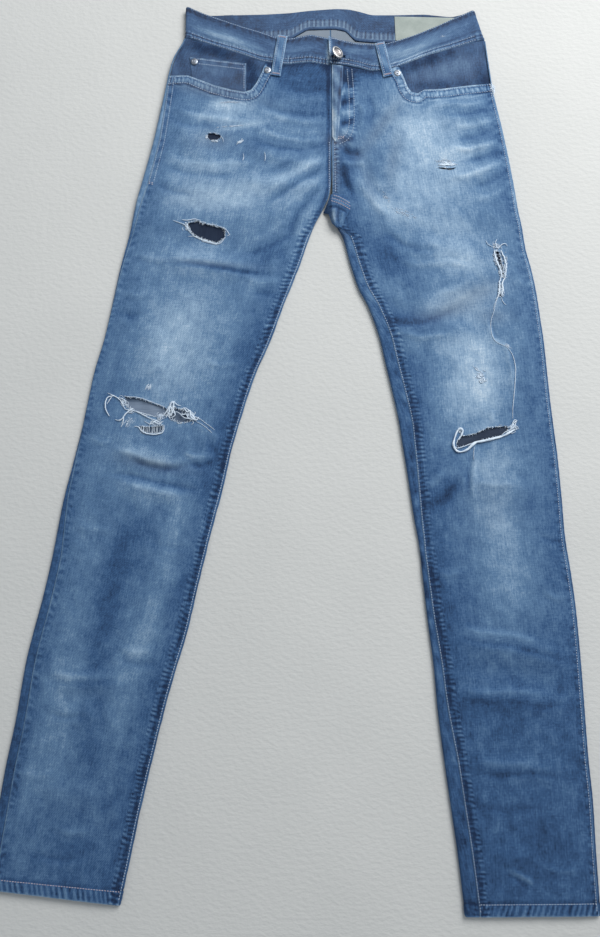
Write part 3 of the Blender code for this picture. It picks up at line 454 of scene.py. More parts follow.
class Leg:
    """One half of the jeans, from the waist to the hem."""

    def __init__(self, sections, insets, shift):
        self.table = np.array(sections, float)
        self.table[:, 2] += shift
        self.insets = np.array(insets, float)[::-1]
        step_x = np.diff(self.table[:, 0] + self.table[:, 2]) / 2
        step_y = np.diff(self.table[:, 1] + self.table[:, 3]) / 2
        self.knots = np.concatenate([[0.0], np.cumsum(np.hypot(step_x, step_y))])
        self.length = self.knots[-1]

    def column(self, index, down):
        """A smooth curve through one column of the table."""
        knots, values = self.knots, self.table[:, index]
        last = len(knots) - 1
        low = np.maximum(np.arange(last + 1) - 1, 0)
        high = np.minimum(np.arange(last + 1) + 1, last)
        slopes = (values[high] - values[low]) / (knots[high] - knots[low])
        i = np.clip(np.searchsorted(knots, down) - 1, 0, last - 1)
        span = knots[i + 1] - knots[i]
        share = (down - knots[i]) / span
        square = share * share
        cube = square * share
        rise = (2 * cube - 3 * square + 1) * values[i] + (cube - 2 * square + share) * span * slopes[i]
        return rise + (3 * square - 2 * cube) * values[i + 1] + (cube - square) * span * slopes[i + 1]

    def edges(self, down):
        return [self.column(index, down) for index in range(4)]

    def ring(self, down):
        """Half the way round the section, from the outer to the inner edge."""
        x1, y1, x2, y2 = self.edges(down)
        return np.hypot(x2 - x1, y2 - y1) - 2 * EDGE_RADIUS + 2 * EDGE_ARC

    def insets_at(self, down):
        """How far the side seam and the inseam lie in from the edges."""
        _, y1, _, y2 = self.edges(down)
        middle = (y1 + y2) / 2
        half = SEAM_GAP / 2
        start = CROTCH_Y - CROTCH_RUN
        side = np.interp(middle, self.insets[:, 0], self.insets[:, 1])
        inseam = np.interp(middle, self.insets[:, 0], self.insets[:, 2]) - half
        return side, inseam * smooth(start, start - CROTCH_RUN / 2, y2) + half

    def surface(self, down, around, front=True):
        """Points of the outer face. around is 0 at the outer edge and runs over
        the top to the inner edge, or below zero under the bottom."""
        x1, y1, x2, y2 = self.edges(down)
        width = np.hypot(x2 - x1, y2 - y1)
        ring = self.ring(down)
        closed = smooth(CROTCH_Y, CROTCH_Y - CROTCH_RUN, y2)
        near = -around <= ring + 1e-6
        below = (around < 0) & near
        from_outer = np.where(near, np.abs(around), 2 * ring + around)
        from_inner = ring - from_outer
        turn_outer = np.clip(from_outer / EDGE_RADIUS, 0, math.pi / 2)
        turn_inner = np.clip(from_inner / EDGE_RADIUS, 0, math.pi / 2)
        across = EDGE_RADIUS + from_outer - EDGE_ARC
        across = np.where(from_outer < EDGE_ARC, EDGE_RADIUS * (1 - np.cos(turn_outer)), across)
        across = np.where(from_inner < EDGE_ARC, width - EDGE_RADIUS * (1 - np.cos(turn_inner)), across)
        share = np.sin(turn_outer) * (1 - closed * (1 - np.sin(turn_inner)))
        x = x1 + (x2 - x1) * across / width
        y = y1 + (y2 - y1) * across / width
        low = SEAT_LIFT * smooth(240, 275, y)
        height = LEG_HEIGHT + (SEAT_HEIGHT - LEG_HEIGHT) * smooth(230, 290, y)
        from_edge = smooth(0, CROWN_RUN, across)
        from_edge = from_edge * (1 - closed * (1 - smooth(0, CROWN_RUN, width - across)))
        crown = from_edge * (CROWN + (top_relief(x, y) if front else 0))
        rise = np.where(below, from_edge * low_relief(x, y) - height / 2, height / 2 + crown)
        return np.stack([x, y, low + height / 2 + share * rise], axis=-1)


RIGHT = Leg(RIGHT_SECTIONS, RIGHT_INSETS, -SEAM_GAP / 2)
LEFT = Leg(LEFT_SECTIONS, LEFT_INSETS, SEAM_GAP / 2)


def top_relief(x, y):
    """Folds, creases and crumpling of the front."""
    small = 0.30 * crumple(x, y, 14, 3.1) + 0.18 * crumple(x, y, 6, 7.7)
    return fold_height(x, y) + CREASE_SCALE * crease_height(CREASES, x, y) + small


print("leg lengths:", round(RIGHT.length), round(LEFT.length), "mm")

# %% [markdown]
# ## The creases of the back
# The underside lies on the floor, so its creases can only be shallow troughs that
# go up into the cloth. There are fans of them behind each knee and under the seat,
# as on any pair that has been worn.

# %% The small creases of the back


def fans(centre_x, centre_y, reach, count, depth):
    """Short troughs that spread to both sides of a place behind a knee."""
    made = []
    for k in range(count):
        level = centre_y + (k - (count - 1) / 2) * 15
        lean = 5 * math.sin(2.1 * k)
        left = (centre_x - reach * (0.8 + 0.2 * math.cos(k)), level + lean)
        right = (centre_x + reach * (0.8 - 0.2 * math.cos(k)), level - lean)
        made.append((3.2, depth, [left, (centre_x, level + 3), right]))
    return made


BACK_CREASES = (
    fans(-165, -10, 62, 8, 0.7) + fans(232, -20, 66, 8, 0.7) + fans(-235, -330, 50, 5, 0.5)
    + fans(262, -330, 56, 5, 0.5) + fans(-95, 255, 80, 4, 0.6) + fans(175, 255, 80, 4, 0.6)
)


def low_relief(x, y):
    """How far the creases of the back rise into the cloth."""
    small = 0.12 + 0.12 * crumple(x, y, 10, 5.5)
    return crease_height(BACK_CREASES, x, y) + small


print("back creases:", len(BACK_CREASES))

# %% [markdown]
# ## Seams that pucker
# A seam is sewn with a tight thread, and the wash pulls the cloth beside it into
# small waves. The waves rub, so their tops turn pale and the valleys stay dark.
# One function gives the waves, and both the shape and the colour read it.

# %% Puckers along the seams
PUCKER_LENGTH = 4.9
PUCKER_HEIGHT = 0.36
EDGE_DROP = 0.55
HEM_RISE = 0.5


def waves(run, away, length=PUCKER_LENGTH):
    """Uneven waves along a seam, slanted now one way and now the other."""
    slant = 0.35 * away * np.sin(run / 17 + 1.0)
    phase = 2 * math.pi * run / length + slant
    phase = phase + 2.1 * np.sin(run / 23) + 1.5 * np.sin(run / 9.7) + 0.8 * np.sin(run / 4.1)
    strength = 0.72 + 0.28 * np.sin(run / 13.3 + 2.0) * np.sin(run / 5.9)
    return np.sin(phase) * strength


def band_beside(away, start, end, soft=1.5):
    """1 between two distances from a seam, and 0 further off."""
    return smooth(start - soft, start, away) * smooth(end + soft, end, away)


def seam_waves(leg, down, from_side, from_inseam, front):
    """The waves at both seams and the hem, between -1 and 1."""
    inner_y = leg.column(3, down)
    below_crotch = smooth(CROTCH_Y - 6, CROTCH_Y - 30, inner_y)
    inseam = waves(down, from_inseam) * band_beside(from_inseam, 2.2, 11.5 if front else 6)
    side = 0.45 * waves(down + 31, from_side, 9.5) * band_beside(from_side, 2, 7)
    up = leg.length - down
    hem = 0.7 * waves(from_side + 0.35 * up, 0, 6.5) * band_beside(up, 1.5, HEM_DEPTH - 3)
    return inseam * below_crotch + side + hem


def seam_relief(leg, down, from_side, from_inseam, front):
    """Puckers, turned-in edges and the doubled hem, straight out of the cloth."""
    up = leg.length - down
    total = PUCKER_HEIGHT * seam_waves(leg, down, from_side, from_inseam, front)
    for away, soft in ((from_side, 1.8), (from_inseam, 1.8), (up, 2)):
        total = total - EDGE_DROP * (1 - smooth(0, soft, away))
    return total + HEM_RISE * smooth(HEM_DEPTH - 0.6, HEM_DEPTH - 2.4, up)


print("puckers every", PUCKER_LENGTH, "mm")

# %% [markdown]
# ## From points to a piece of cloth
# A panel starts as a grid of points on its outer face. A second grid one wall
# further in, and a rim between the two, close it into a real sheet. Each point
# also keeps its place on the flat cloth, so that the weave can follow the leg.

# %% Closed cloth from a grid


def grid_normals(points, up):
    """The direction out of the cloth at each point of a grid."""
    out = np.cross(np.gradient(points, axis=1), np.gradient(points, axis=0))
    out = out / np.maximum(np.linalg.norm(out, axis=2, keepdims=True), 1e-9)
    return out if out[..., 2].mean() * up > 0 else -out


def link_mesh(name, verts, faces, finish, smooth_angle=50):
    mesh = bpy.data.meshes.new(name)
    mesh.from_pydata((np.asarray(verts) * MM).tolist(), [], faces)
    mesh.materials.append(finish)
    mesh.shade_smooth()
    mesh.set_sharp_from_angle(angle=math.radians(smooth_angle))
    piece = bpy.data.objects.new(name, mesh)
    scene.collection.objects.link(piece)
    return piece


def read(items, key, width=1, kind=float):
    """One value, or a few, of every item of a mesh."""
    values = np.empty(len(items) * width, dtype=kind)
    items.foreach_get(key, values)
    return values


def sheet_mesh(name, points, cloth_place, wall, up, finish):
    """A closed sheet between a grid of outer points and one wall further in.

    cloth_place holds the place on the flat cloth, as two values in millimetres.
    """
    rows, columns = points.shape[:2]
    out = grid_normals(points, up)
    inner = points - out * wall
    count = rows * columns
    index = np.arange(count).reshape(rows, columns)
    quads = np.stack([index[:-1, :-1], index[1:, :-1], index[1:, 1:], index[:-1, 1:]], axis=-1)
    quads = quads.reshape(-1, 4)
    across = points[:, 1:].mean(axis=(0, 1)) - points[:, :-1].mean(axis=(0, 1))
    along = points[1:].mean(axis=(0, 1)) - points[:-1].mean(axis=(0, 1))
    way = -1 if np.cross(along, across)[2] * up < 0 else 1
    quads = quads[:, ::way]
    faces = [quads, quads[:, ::-1] + count]
    for line in (index[:, 0], index[-1, :], index[::-1, -1], index[0, ::-1]):
        rim = np.stack([line[:-1], line[:-1] + count, line[1:] + count, line[1:]], axis=-1)
        faces.append(rim[:, ::way])
    faces = np.concatenate(faces)
    verts = np.concatenate([points.reshape(-1, 3), inner.reshape(-1, 3)])
    piece = link_mesh(name, verts, faces.tolist(), finish)
    mesh = piece.data
    flat = np.tile(cloth_place.reshape(-1, 2), (2, 1)) * MM
    corner = read(mesh.loops, "vertex_index", kind=np.int32)
    mesh.uv_layers.new(name="cloth").data.foreach_set("uv", flat[corner].ravel())
    inside = np.zeros(len(mesh.polygons), dtype=np.int32)
    inside[len(quads):2 * len(quads)] = 1
    mesh.materials.append(finish)
    mesh.polygons.foreach_set("material_index", inside)
    return piece


# %% Cutting a piece to an outline


def prism(outlines, low, high):
    """One upright prism for each outline."""
    verts, faces = [], []
    for outline in outlines:
        turn = sum(x1 * y2 - x2 * y1 for (x1, y1), (x2, y2) in zip(outline, outline[1:] + outline[:1]))
        ring = outline if turn > 0 else outline[::-1]
        start, size = len(verts), len(ring)
        verts += [(x, y, low) for x, y in ring] + [(x, y, high) for x, y in ring]
        faces.append([start + k for k in reversed(range(size))])
        faces.append([start + size + k for k in range(size)])
        for k in range(size):
            after = (k + 1) % size
            faces.append([start + k, start + after, start + size + after, start + size + k])
    return verts, faces


def trim(piece, outlines, operation, low=-20, high=40):
    """Cuts the outlines out of a piece, or keeps only what lies in them."""
    verts, faces = prism(outlines, low, high)
    cutter = link_mesh("cutter", verts, faces, piece.data.materials[0])
    cut = piece.modifiers.new("Shape", "BOOLEAN")
    cut.operation = operation
    cut.solver = "MANIFOLD"
    cut.object = cutter
    with bpy.context.temp_override(object=piece, active_object=piece):
        bpy.ops.object.modifier_apply(modifier=cut.name)
    bpy.data.objects.remove(cutter)
    piece.data.shade_smooth()
    piece.data.set_sharp_from_angle(angle=math.radians(50))


def ragged(outline, step, amount, seed):
    """An outline of torn cloth: short uneven edges in place of long straight ones."""
    dice = random.Random(seed)
    made = []
    for (x1, y1), (x2, y2) in zip(outline, outline[1:] + outline[:1]):
        size = math.hypot(x2 - x1, y2 - y1)
        count = max(1, round(size / step))
        for k in range(count):
            push = dice.uniform(-amount, amount) if k else 0.3 * dice.uniform(-amount, amount)
            x = x1 + (x2 - x1) * k / count - (y2 - y1) / size * push
            y = y1 + (y2 - y1) * k / count + (x2 - x1) / size * push
            made.append((x, y))
    return made


def above(edge, height=640.0):
    """The region above an edge line, as an outline."""
    return edge + [(edge[-1][0], height), (edge[0][0], height)]


print("helpers for cloth are ready")

# %% [markdown]
# ## Denim
# Denim is a twill: dyed warp threads run down the leg, and white weft threads run
# across. Wear takes the blue off the tops of the warp threads, so a worn place
# turns pale, with fine streaks down the leg. The material reads four values that
# are painted on the mesh: fade, which also holds painted light and shade; fray;
# grime, which also holds painted shade; and whether it is the inside. The
# weave follows the piece's own map, in metres, so it turns with the leg.

# %% Denim material
TWILL_LINES = 290
FADE_STOPS = [
    (0, (0.01, 0.026, 0.07, 1)), (0.25, (0.037, 0.094, 0.212, 1)), (0.5, (0.108, 0.202, 0.342, 1)),
    (0.75, (0.27, 0.392, 0.535, 1)), (1, (0.56, 0.67, 0.77, 1)),
]
INSIDE_DARK = (0.13, 0.17, 0.22, 1)
INSIDE_PALE = (0.38, 0.42, 0.48, 1)


def ramp(tree, value, stops):
    made = add(tree, "ValToRGB", {"Fac": value})
    elements = made.color_ramp.elements
    while len(elements) < len(stops):
        elements.new(0.5)
    for element, (position, colour) in zip(elements, stops):
        element.position = position
        element.color = colour
    return made.outputs["Color"]


def denim_material():
    made, tree, shader = new_material("denim_washed", 0.88, sheen=0.05, specular=0.12)
    place = add(tree, "UVMap", uv_map="cloth").outputs["UV"]
    wear_and_shade = add(tree, "Attribute", attribute_name="wear_and_shade")
    parts = add(tree, "SeparateColor", {"Color": wear_and_shade.outputs["Color"]})
    fade_and_shade, fray, grime_and_shade = (parts.outputs[key] for key in ("Red", "Green", "Blue"))
    inside = wear_and_shade.outputs["Alpha"]
    lines = {"Vector": place, "Scale": TWILL_LINES, "Distortion": 0.6, "Detail": 1.0}
    twill = add(tree, "TexWave", lines, bands_direction="DIAGONAL").outputs["Fac"]
    long_slub = grain(tree, place, (620, 24), 3)
    short_slub = grain(tree, place, (820, 150), 3)
    weft_slub = grain(tree, place, (90, 760), 3)
    speck = grain(tree, place, (420, 420), 4)
    mottle = grain(tree, place, (85, 55), 4)
    cloud = grain(tree, place, (24, 13), 3)
    shares = (
        (long_slub, 0.25), (short_slub, 0.32), (weft_slub, 0.22), (speck, 0.30), (mottle, 0.34),
        (cloud, 0.20), (twill, 0.05),
    )
    level = maths(tree, "SUBTRACT", fade_and_shade, sum(share for _, share in shares) / 2)
    for value, share in shares:
        level = maths(tree, "MULTIPLY_ADD", value, share, level)
    colour = ramp(tree, level, FADE_STOPS)
    pale = maths(tree, "MULTIPLY_ADD", level, 0.35, 0.15)
    within = mixed(tree, pale, INSIDE_DARK, INSIDE_PALE)
    colour = mixed(tree, inside, colour, within)
    # Grime and painted shade darken the cloth towards grey-brown.
    colour = mixed(tree, maths(tree, "MULTIPLY", grime_and_shade, 0.55), colour, (0.16, 0.155, 0.15, 1))
    lint = grain(tree, place, (700, 1100), 3)
    torn = maths(tree, "MULTIPLY_ADD", lint, 0.9, maths(tree, "SUBTRACT", fray, 0.45))
    white = stepped(tree, torn, 0.42, 0.62)
    colour = mixed(tree, white, colour, (0.78, 0.80, 0.82, 1))
    tree.links.new(colour, shader.inputs["Base Color"])
    height = maths(tree, "MULTIPLY_ADD", long_slub, 0.6, maths(tree, "MULTIPLY", twill, 0.5))
    height = maths(tree, "MULTIPLY_ADD", mottle, 1.6, height)
    height = maths(tree, "MULTIPLY_ADD", white, 0.5, height)
    add_bump(tree, shader, height, 0.55, 0.0006)
    return made


DENIM = denim_material()
print("denim is ready")

# %% [markdown]
# ## Where the jeans have faded, and where shade is painted
# A wash with stones fades what stands out: the thighs, the knees and the tops of
# the creases. Each line of the table is one soft oval with its place, its two
# half sizes, its turn in degrees, and how much paler or darker it makes the cloth.
# Many dark ovals are painted shade, in the troughs of folds and creases, beside
# the crotch and under the waistband; a few thin pale ones are painted light on
# crease tops.

# %% Fades of the front
# How faded the front is at each height
FRONT_LEVELS = [(-560, 0.27), (-300, 0.28), (-80, 0.35), (120, 0.44), (300, 0.47), (560, 0.45)]
# x, y, half the length, half the width, turn and amount of each oval
# Real fades of the wash, with painted shade in troughs and painted light on crease tops
FADES_AND_SHADES = [
    # The right hip and thigh
    (-85, 424, 26, 6, 0, 0.26), (-85, 408, 50, 14, 5, 0.14), (-62, 393, 26, 3.5, 10, 0.22),
    (-105, 376, 34, 14, 0, 0.07), (-108, 332, 62, 15, 0, 0.12), (-108, 296, 58, 22, 0, 0.24),
    (-62, 302, 40, 18, 12, 0.12), (-4, 330, 44, 4, 27, 0.13), (6, 308, 38, 4, 36, 0.12),
    (-2, 344, 40, 3, 22, -0.1), (0, 386, 44, 5, 4, 0.07), (-178, 330, 30, 20, 0, 0.06),
    (-48, 365, 30, 20, 0, -0.09), (-87, 416, 22, 8, 0, 0.1), (-165, 420, 30, 60, 0, -0.08),
    (14, 460, 46, 20, 0, -0.34), (24, 420, 30, 24, 0, -0.15), (-165, 322, 60, 12, 80, -0.07),
    (-104, 441, 52, 8, -12, -0.12), (95, 406, 20, 20, 0, -0.13), (56, 373, 10, 9, 0, -0.14),
    (-10, 410, 44, 5, -8, 0.07), (-6, 372, 46, 4, -6, -0.06), (-120, 228, 46, 13, 0, 0.12),
    (-130, 140, 62, 44, 80, 0.2), (-152, 76, 52, 46, 80, 0.2), (-96, 204, 56, 4, -6, -0.2),
    (-32, 222, 28, 20, 30, -0.13), (-46, 118, 70, 18, 68, -0.16), (-186, 270, 80, 12, 78, -0.08),
    (-205, 120, 90, 12, 80, -0.07),
    # The right knee and calf
    (-170, 8, 48, 30, 0, 0.12), (-180, -28, 36, 8, -12, 0.12), (-120, -34, 20, 7, 0, 0.08),
    (-165, -50, 44, 4, -9, -0.06), (-150, -72, 50, 5, -12, -0.08), (-186, -84, 40, 9, -10, 0.07),
    (-88, -24, 60, 16, 76, -0.13), (-118, -66, 26, 13, -10, -0.12), (-202, -150, 62, 17, 80, -0.11),
    (-146, -150, 80, 13, 78, 0.18), (-250, -140, 70, 20, 80, 0.05), (-168, -238, 44, 14, 78, 0.17),
    (-222, -240, 84, 13, 82, -0.15), (-270, -320, 110, 17, 82, 0.11), (-192, -300, 60, 16, 80, 0.16),
    (-177, -52, 44, 15, 0, 0.09), (-236, -392, 60, 14, 82, -0.08), (-238, -305, 44, 4, 0, -0.04),
    (-244, -297, 40, 2.6, 0, 0.07), (-304, -410, 80, 4, 82, 0.08), (-262, -500, 60, 40, 0, -0.03),
    (-165, -70, 60, 26, -10, 0.1), (-240, -360, 200, 60, 80, 0.1), (-290, -330, 260, 30, 80, 0.07),
    # The left hip
    (168, 392, 44, 24, -12, 0.27), (192, 352, 34, 22, 0, 0.28), (148, 352, 40, 20, 75, 0.16),
    (172, 306, 56, 26, 0, 0.21), (196, 262, 50, 22, -16, 0.18), (216, 212, 36, 20, -10, 0.24),
    (228, 172, 34, 9, 18, 0.12), (112, 298, 44, 9, -62, 0.16), (140, 274, 28, 8, -24, 0.14),
    (88, 330, 20, 8, 80, 0.12), (126, 420, 26, 8, 50, 0.08), (200, 432, 50, 5, 4, 0.1),
    (228, 352, 30, 3, 16, 0.07), (236, 330, 30, 3, 22, 0.06), (242, 374, 34, 7, 8, -0.12),
    (247, 456, 7, 5, 20, -0.3), (254, 447, 6, 9, 15, -0.2), (244, 400, 30, 3.5, 8, 0.05),
    (246, 352, 30, 6, 10, -0.12), (95, 455, 26, 18, 60, -0.08), (124, 436, 22, 18, 40, 0.06),
    (262, 420, 20, 40, 0, -0.1), (74, 338, 18, 15, -30, -0.36), (72, 318, 30, 6, -72, -0.24),
    (122, 222, 34, 18, -52, -0.26), (140, 136, 34, 10, 0, -0.26), (186, 142, 34, 7, 22, -0.1),
    (272, 290, 60, 12, -78, -0.08),
    # The left thigh, knee and calf
    (206, 160, 44, 22, 10, 0.26), (175, 122, 36, 9, 6, -0.16), (223, -2, 20, 8, 0, 0.1),
    (68, 270, 50, 14, -75, -0.22), (206, 104, 46, 20, 0, 0.18), (232, 56, 52, 30, 85, 0.43),
    (196, 40, 50, 16, 85, 0.12), (154, 40, 90, 16, 85, -0.12), (294, 60, 120, 15, 87, -0.03),
    (244, -44, 32, 22, 0, 0.23), (246, -112, 66, 32, 88, 0.21), (260, -190, 60, 32, 85, 0.2),
    (184, -80, 32, 16, 34, -0.15), (176, -160, 70, 14, 85, -0.07), (222, -90, 50, 4, 88, 0.08),
    (262, -266, 72, 9, -9, -0.1), (256, -292, 56, 8, -5, 0.07), (256, -330, 72, 12, -2, -0.1),
    (262, -404, 60, 5, -2, -0.05), (262, -519, 18, 2.5, -28, 0.16), (283, -499, 60, 40, 0, -0.09),
    (300, -207, 30, 16, 0, 0.08), (285, -275, 40, 12, -8, 0.08), (177, -253, 34, 14, 85, -0.1),
    (250, -380, 120, 70, 85, -0.03),
]
# Grime, with painted shade in crease troughs, along the crotch seam and below the right pocket's mouth
GRIME_AND_SHADE = [
    (116, 396, 50, 9, 55, 0.34), (98, 312, 40, 9, -75, 0.25), (226, 170, 38, 12, 18, 0.4),
    (-104, 374, 26, 13, 0, 0.35), (-100, 210, 50, 4, -5, 0.3), (130, 352, 40, 9, 80, 0.3),
    (-172, -42, 40, 8, -10, 0.35), (-120, 296, 40, 16, 0, 0.15), (240, -90, 30, 40, 0, 0.15),
    (250, 142, 20, 10, 0, 0.3), (192, 148, 36, 11, 12, 0.42), (-100, 442, 56, 10, -12, 0.45),
    (60, 374, 14, 9, 0, 0.5), (55, 335, 5, 36, 0, 0.4),
]

# %% Rips and frayed places
HIP_HOLE = [
    (-108, 383), (-100, 383.5), (-92, 380.5), (-91.5, 378), (-96, 374.5), (-105, 374), (-108, 377.5),
]
THIGH_HOLE = [
    (-134, 262), (-122, 265.5), (-102, 260.5), (-85, 256), (-84.5, 246), (-93, 237.5), (-106, 240),
    (-124, 247),
]
RIGHT_KNEE_SLIT = [
    (-205, 39.5), (-187.5, 37.5), (-172, 32), (-155, 25.5), (-151.5, 21.5), (-153.5, 16.5),
    (-164.5, 14.5), (-179.5, 16.5), (-196.5, 24), (-203, 30),
]
RIGHT_KNEE_GAP = [
    (-148, 27.5), (-135.5, 24), (-124.5, 19), (-116, 12), (-124.5, 9), (-136.5, 7), (-148.5, 11.5),
    (-150.5, 19),
]
RIGHT_KNEE_HOLE = [
    (-186.5, 3), (-184.5, -2), (-176, -5.5), (-163.5, -6), (-157, -2), (-157, 4), (-166.5, 2.5),
    (-174.5, 1.5),
]
SIDE_RIP = [
    (255, 228), (260.5, 225), (263.5, 210), (265, 201), (265.3, 192), (263.4, 192), (262.4, 201),
    (261.3, 207.5), (257.5, 209), (255.5, 220.5),
]
SIDE_SLIT = [(260.4, 184), (262, 175), (260.6, 167.5), (258.8, 167.5), (260, 175), (259.2, 183)]
LEFT_KNEE_RIP = [
    (206, -9.5), (216, -8.5), (226, -5.5), (240, 1), (263, 3), (264.5, -2), (253.5, -9.5), (230, -14.5),
    (223, -17.7), (212, -21), (201.5, -24), (200.5, -17.5),
]
HIP_TEAR = [
    (184, 336.2), (191, 337), (197, 335.8), (203, 335.8), (208.5, 337), (206, 334.4), (199, 333.4),
    (193, 334), (188, 335),
]
RIPS = [
    HIP_HOLE, THIGH_HOLE, RIGHT_KNEE_SLIT, RIGHT_KNEE_GAP, RIGHT_KNEE_HOLE, SIDE_RIP, SIDE_SLIT,
    LEFT_KNEE_RIP, HIP_TEAR,
]
FRAYED_SPOTS = [
    (-84, 425, 22, 4, 0, 0.34), (-62, 393, 24, 2.5, 10, 0.34), (-65, 373, 9, 3, 40, 0.4),
    (-178, 52, 3, 8, -20, 0.36), (-62, 351, 1.6, 6, 0, 0.34), (-34.5, 351, 1.6, 7, 0, 0.34),
    (-144, 268, 14, 6, 20, 0.34), (194, 346, 12, 10, 0, 0.42), (196, 339.5, 13, 3, 0, 0.2),
    (142, 275, 26, 5, -24, 0.36), (120, 296, 12, 5, -60, 0.32), (232, 68, 5, 12, -30, 0.4),
    (258, 236, 12, 8, 0, 0.32), (256, 215, 3.5, 22, 8, 0.42), (268, 205, 3.5, 26, 0, 0.4),
    (261, 180, 5, 14, 0, 0.4), (-205, 26, 18, 9, 0, 0.3), (-150, 14, 34, 6, -4, 0.3),
    (-172, 6, 18, 4, 0, 0.34), (-200, 2, 16, 5, 60, 0.28), (268, 5, 9, 6, 0, 0.36),
]
FRAYED_LINE = [
    (256, 164), (252, 150), (247, 132), (250, 112), (266, 102), (272, 92), (275, 76), (274, 53),
    (271, 29), (270, 13),
]


def spots(table, x, y):
    """The sum of the soft ovals of one table."""
    total = np.zeros(np.shape(x))
    for middle_x, middle_y, long, wide, turn, amount in table:
        turn = math.radians(turn)
        step_x, step_y = x - middle_x, y - middle_y
        along = (step_x * math.cos(turn) + step_y * math.sin(turn)) / long
        across = (step_y * math.cos(turn) - step_x * math.sin(turn)) / wide
        total += amount * np.exp(-along ** 2 - across ** 2)
    return total


def front_wear_and_shade(x, y):
    """Fade with painted light and shade, fray, and grime with painted shade, of the front at each place."""
    fade_and_shade = np.interp(y, *np.transpose(FRONT_LEVELS)) + spots(FADES_AND_SHADES, x, y)
    # Crease and fold tops turn paler and their troughs darker: partly rubbed wear, partly painted light and
    # shade.
    strength = 0.16 + 0.05 * smooth(180, 280, y)
    fade_and_shade = fade_and_shade + strength * crease_height(CREASES, x, y) + 0.03 * fold_height(x, y)
    fade_and_shade += 0.05 * crumple(x, 1.7 * y, 16, 6.3)
    fray = spots(FRAYED_SPOTS, x, y)
    rim = 0.42 + 0.14 * np.sin(x / 1.9 + y / 5.1) * np.sin(y / 2.3 - x / 6.7)
    for outline in RIPS:
        fray = np.maximum(fray, rim * bell(distance(outline + outline[:1], x, y), 2.2))
    fray = np.maximum(fray, 0.36 * bell(distance(FRAYED_LINE, x, y), 1.1))
    return fade_and_shade, fray, spots(GRIME_AND_SHADE, x, y)


# %% Writing the wear on a mesh


def paint(piece, wear_at):
    """Gives each corner its fade with painted light and shade, its fray, its grime with painted shade, and
    1 where it is the inside.

    wear_at gets x, y and z of the points, and their places across and along the
    flat cloth, in millimetres. A value that is the same all over is one number.
    """
    mesh = piece.data
    points = read(mesh.vertices, "co", 3).reshape(-1, 3) / MM
    corner = read(mesh.loops, "vertex_index", kind=np.int32)
    place = np.zeros((len(points), 2))
    place[corner] = read(mesh.uv_layers["cloth"].data, "uv", 2).reshape(-1, 2) / MM
    inside = read(mesh.polygons, "material_index", kind=np.int32)
    sizes = read(mesh.polygons, "loop_total", kind=np.int32)
    wear_and_shade = [np.broadcast_to(np.clip(value, 0, 1), len(points)) for value in wear_at(*points.T, *place.T)]
    colours = np.stack([value[corner] for value in wear_and_shade], axis=-1)
    colours = np.concatenate([colours, np.repeat(inside, sizes)[:, None]], axis=1)
    mesh.color_attributes.new("wear_and_shade", "FLOAT_COLOR", "CORNER").data.foreach_set("color", colours.ravel())
    mesh.polygons.foreach_set("material_index", 0 * inside)
    while len(mesh.materials) > 1:
        mesh.materials.pop(index=len(mesh.materials) - 1)
    mesh.update()


def finish_piece(piece, node=None):
    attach(piece, "root")
    if node:
        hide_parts(node)


print("fades:", len(FADES_AND_SHADES), "rips:", len(RIPS))

# %% [markdown]
# ## The front panels
# Each front panel is one sheet from the pocket and the waistband down to the hem.
# Its grid is fine, under three millimetres, so that puckers and creases
# are real shape. The mouth of the pocket and the rips are cut out of the closed
# sheet, so a cut edge shows the thickness of the cloth.

# %% Rows and columns of a panel
EDGE_STEPS = np.array([0, 0.45, 1.0, 1.7, 2.6, 3.7, 5.0, 6.6])
FRONT_PITCH = (2.5, 2.8)
BACK_PITCH = (4.5, 5.0)
HEM_ROWS = np.array([16.5, 15.6, 14.6, 13.8, 13.0, 12.0, 10.4, 8.6, 6.8, 5.0, 3.4, 2.2, 1.2, 0.5, 0])
LAYER_WALL = 0.9


def rows_between(start, end, pitch):
    return np.linspace(start, end, round((end - start) / pitch) + 1)[:, None]


def panel_rows(leg, start, pitch):
    """Rows down to the hem, and closer rows in the hem itself."""
    body = rows_between(start, leg.length - HEM_ROWS[0] - pitch, pitch)
    return np.concatenate([body, leg.length - HEM_ROWS[:, None]])


def columns_between(start, end, count):
    """Columns across a panel, closer together near both edges."""
    way = np.sign(end - start)
    near = start + way * EDGE_STEPS
    far = end - way * EDGE_STEPS[::-1]
    share = (np.arange(count - 1) + 1) / count
    middle = near[:, -1:] + (far[:, :1] - near[:, -1:]) * share
    return np.concatenate([near, middle, far], axis=1)


def front_span(leg, down):
    """Where the front panel starts and ends round the section."""
    side, inseam = leg.insets_at(down)
    return side + SEAM_GAP / 2, leg.ring(down) - inseam - SEAM_GAP / 2


def cloth_places(down, around):
    return np.stack([around, np.broadcast_to(-down, around.shape)], axis=-1)


RIGHT_MOUTH = [
    (-162, 463), (-135, 463), (-120, 457), (-100, 449), (-78, 443), (-60, 440), (-52, 443), (-46, 453),
    (-39, 468), (-34, 477),
]
LEFT_MOUTH = [
    (138, 471), (145, 458), (148, 447), (153, 439), (161, 437), (168, 443), (191, 444), (230, 449),
    (247, 451), (259, 454),
]
MOUTH_HEM = 12.0
CROTCH_SEAM = [(52.5, 372), (52, 330), (49, 301)]
BAND_SHADOW = [
    (-40, 483), (-20, 480), (-6, 479), (22, 482), (49, 480), (69, 477), (84, 474), (116, 470),
]
FLY_BUMPS_Y = (440, 411, 386)
FLY_BUMP_SIZE = 9
FLY_SHADOWS = [(74, 462, 14, 12, 0, -0.2), (71, 446, 9, 14, 0, -0.18), (96, 466, 26, 9, 0, -0.12)]
FLY_FOLD = [(69, 452), (66, 440), (61, 430), (58, 422)]
FLY_STITCHING = [(77, 473), (79, 440), (79.5, 405), (77, 385), (70, 374), (60, 369)]


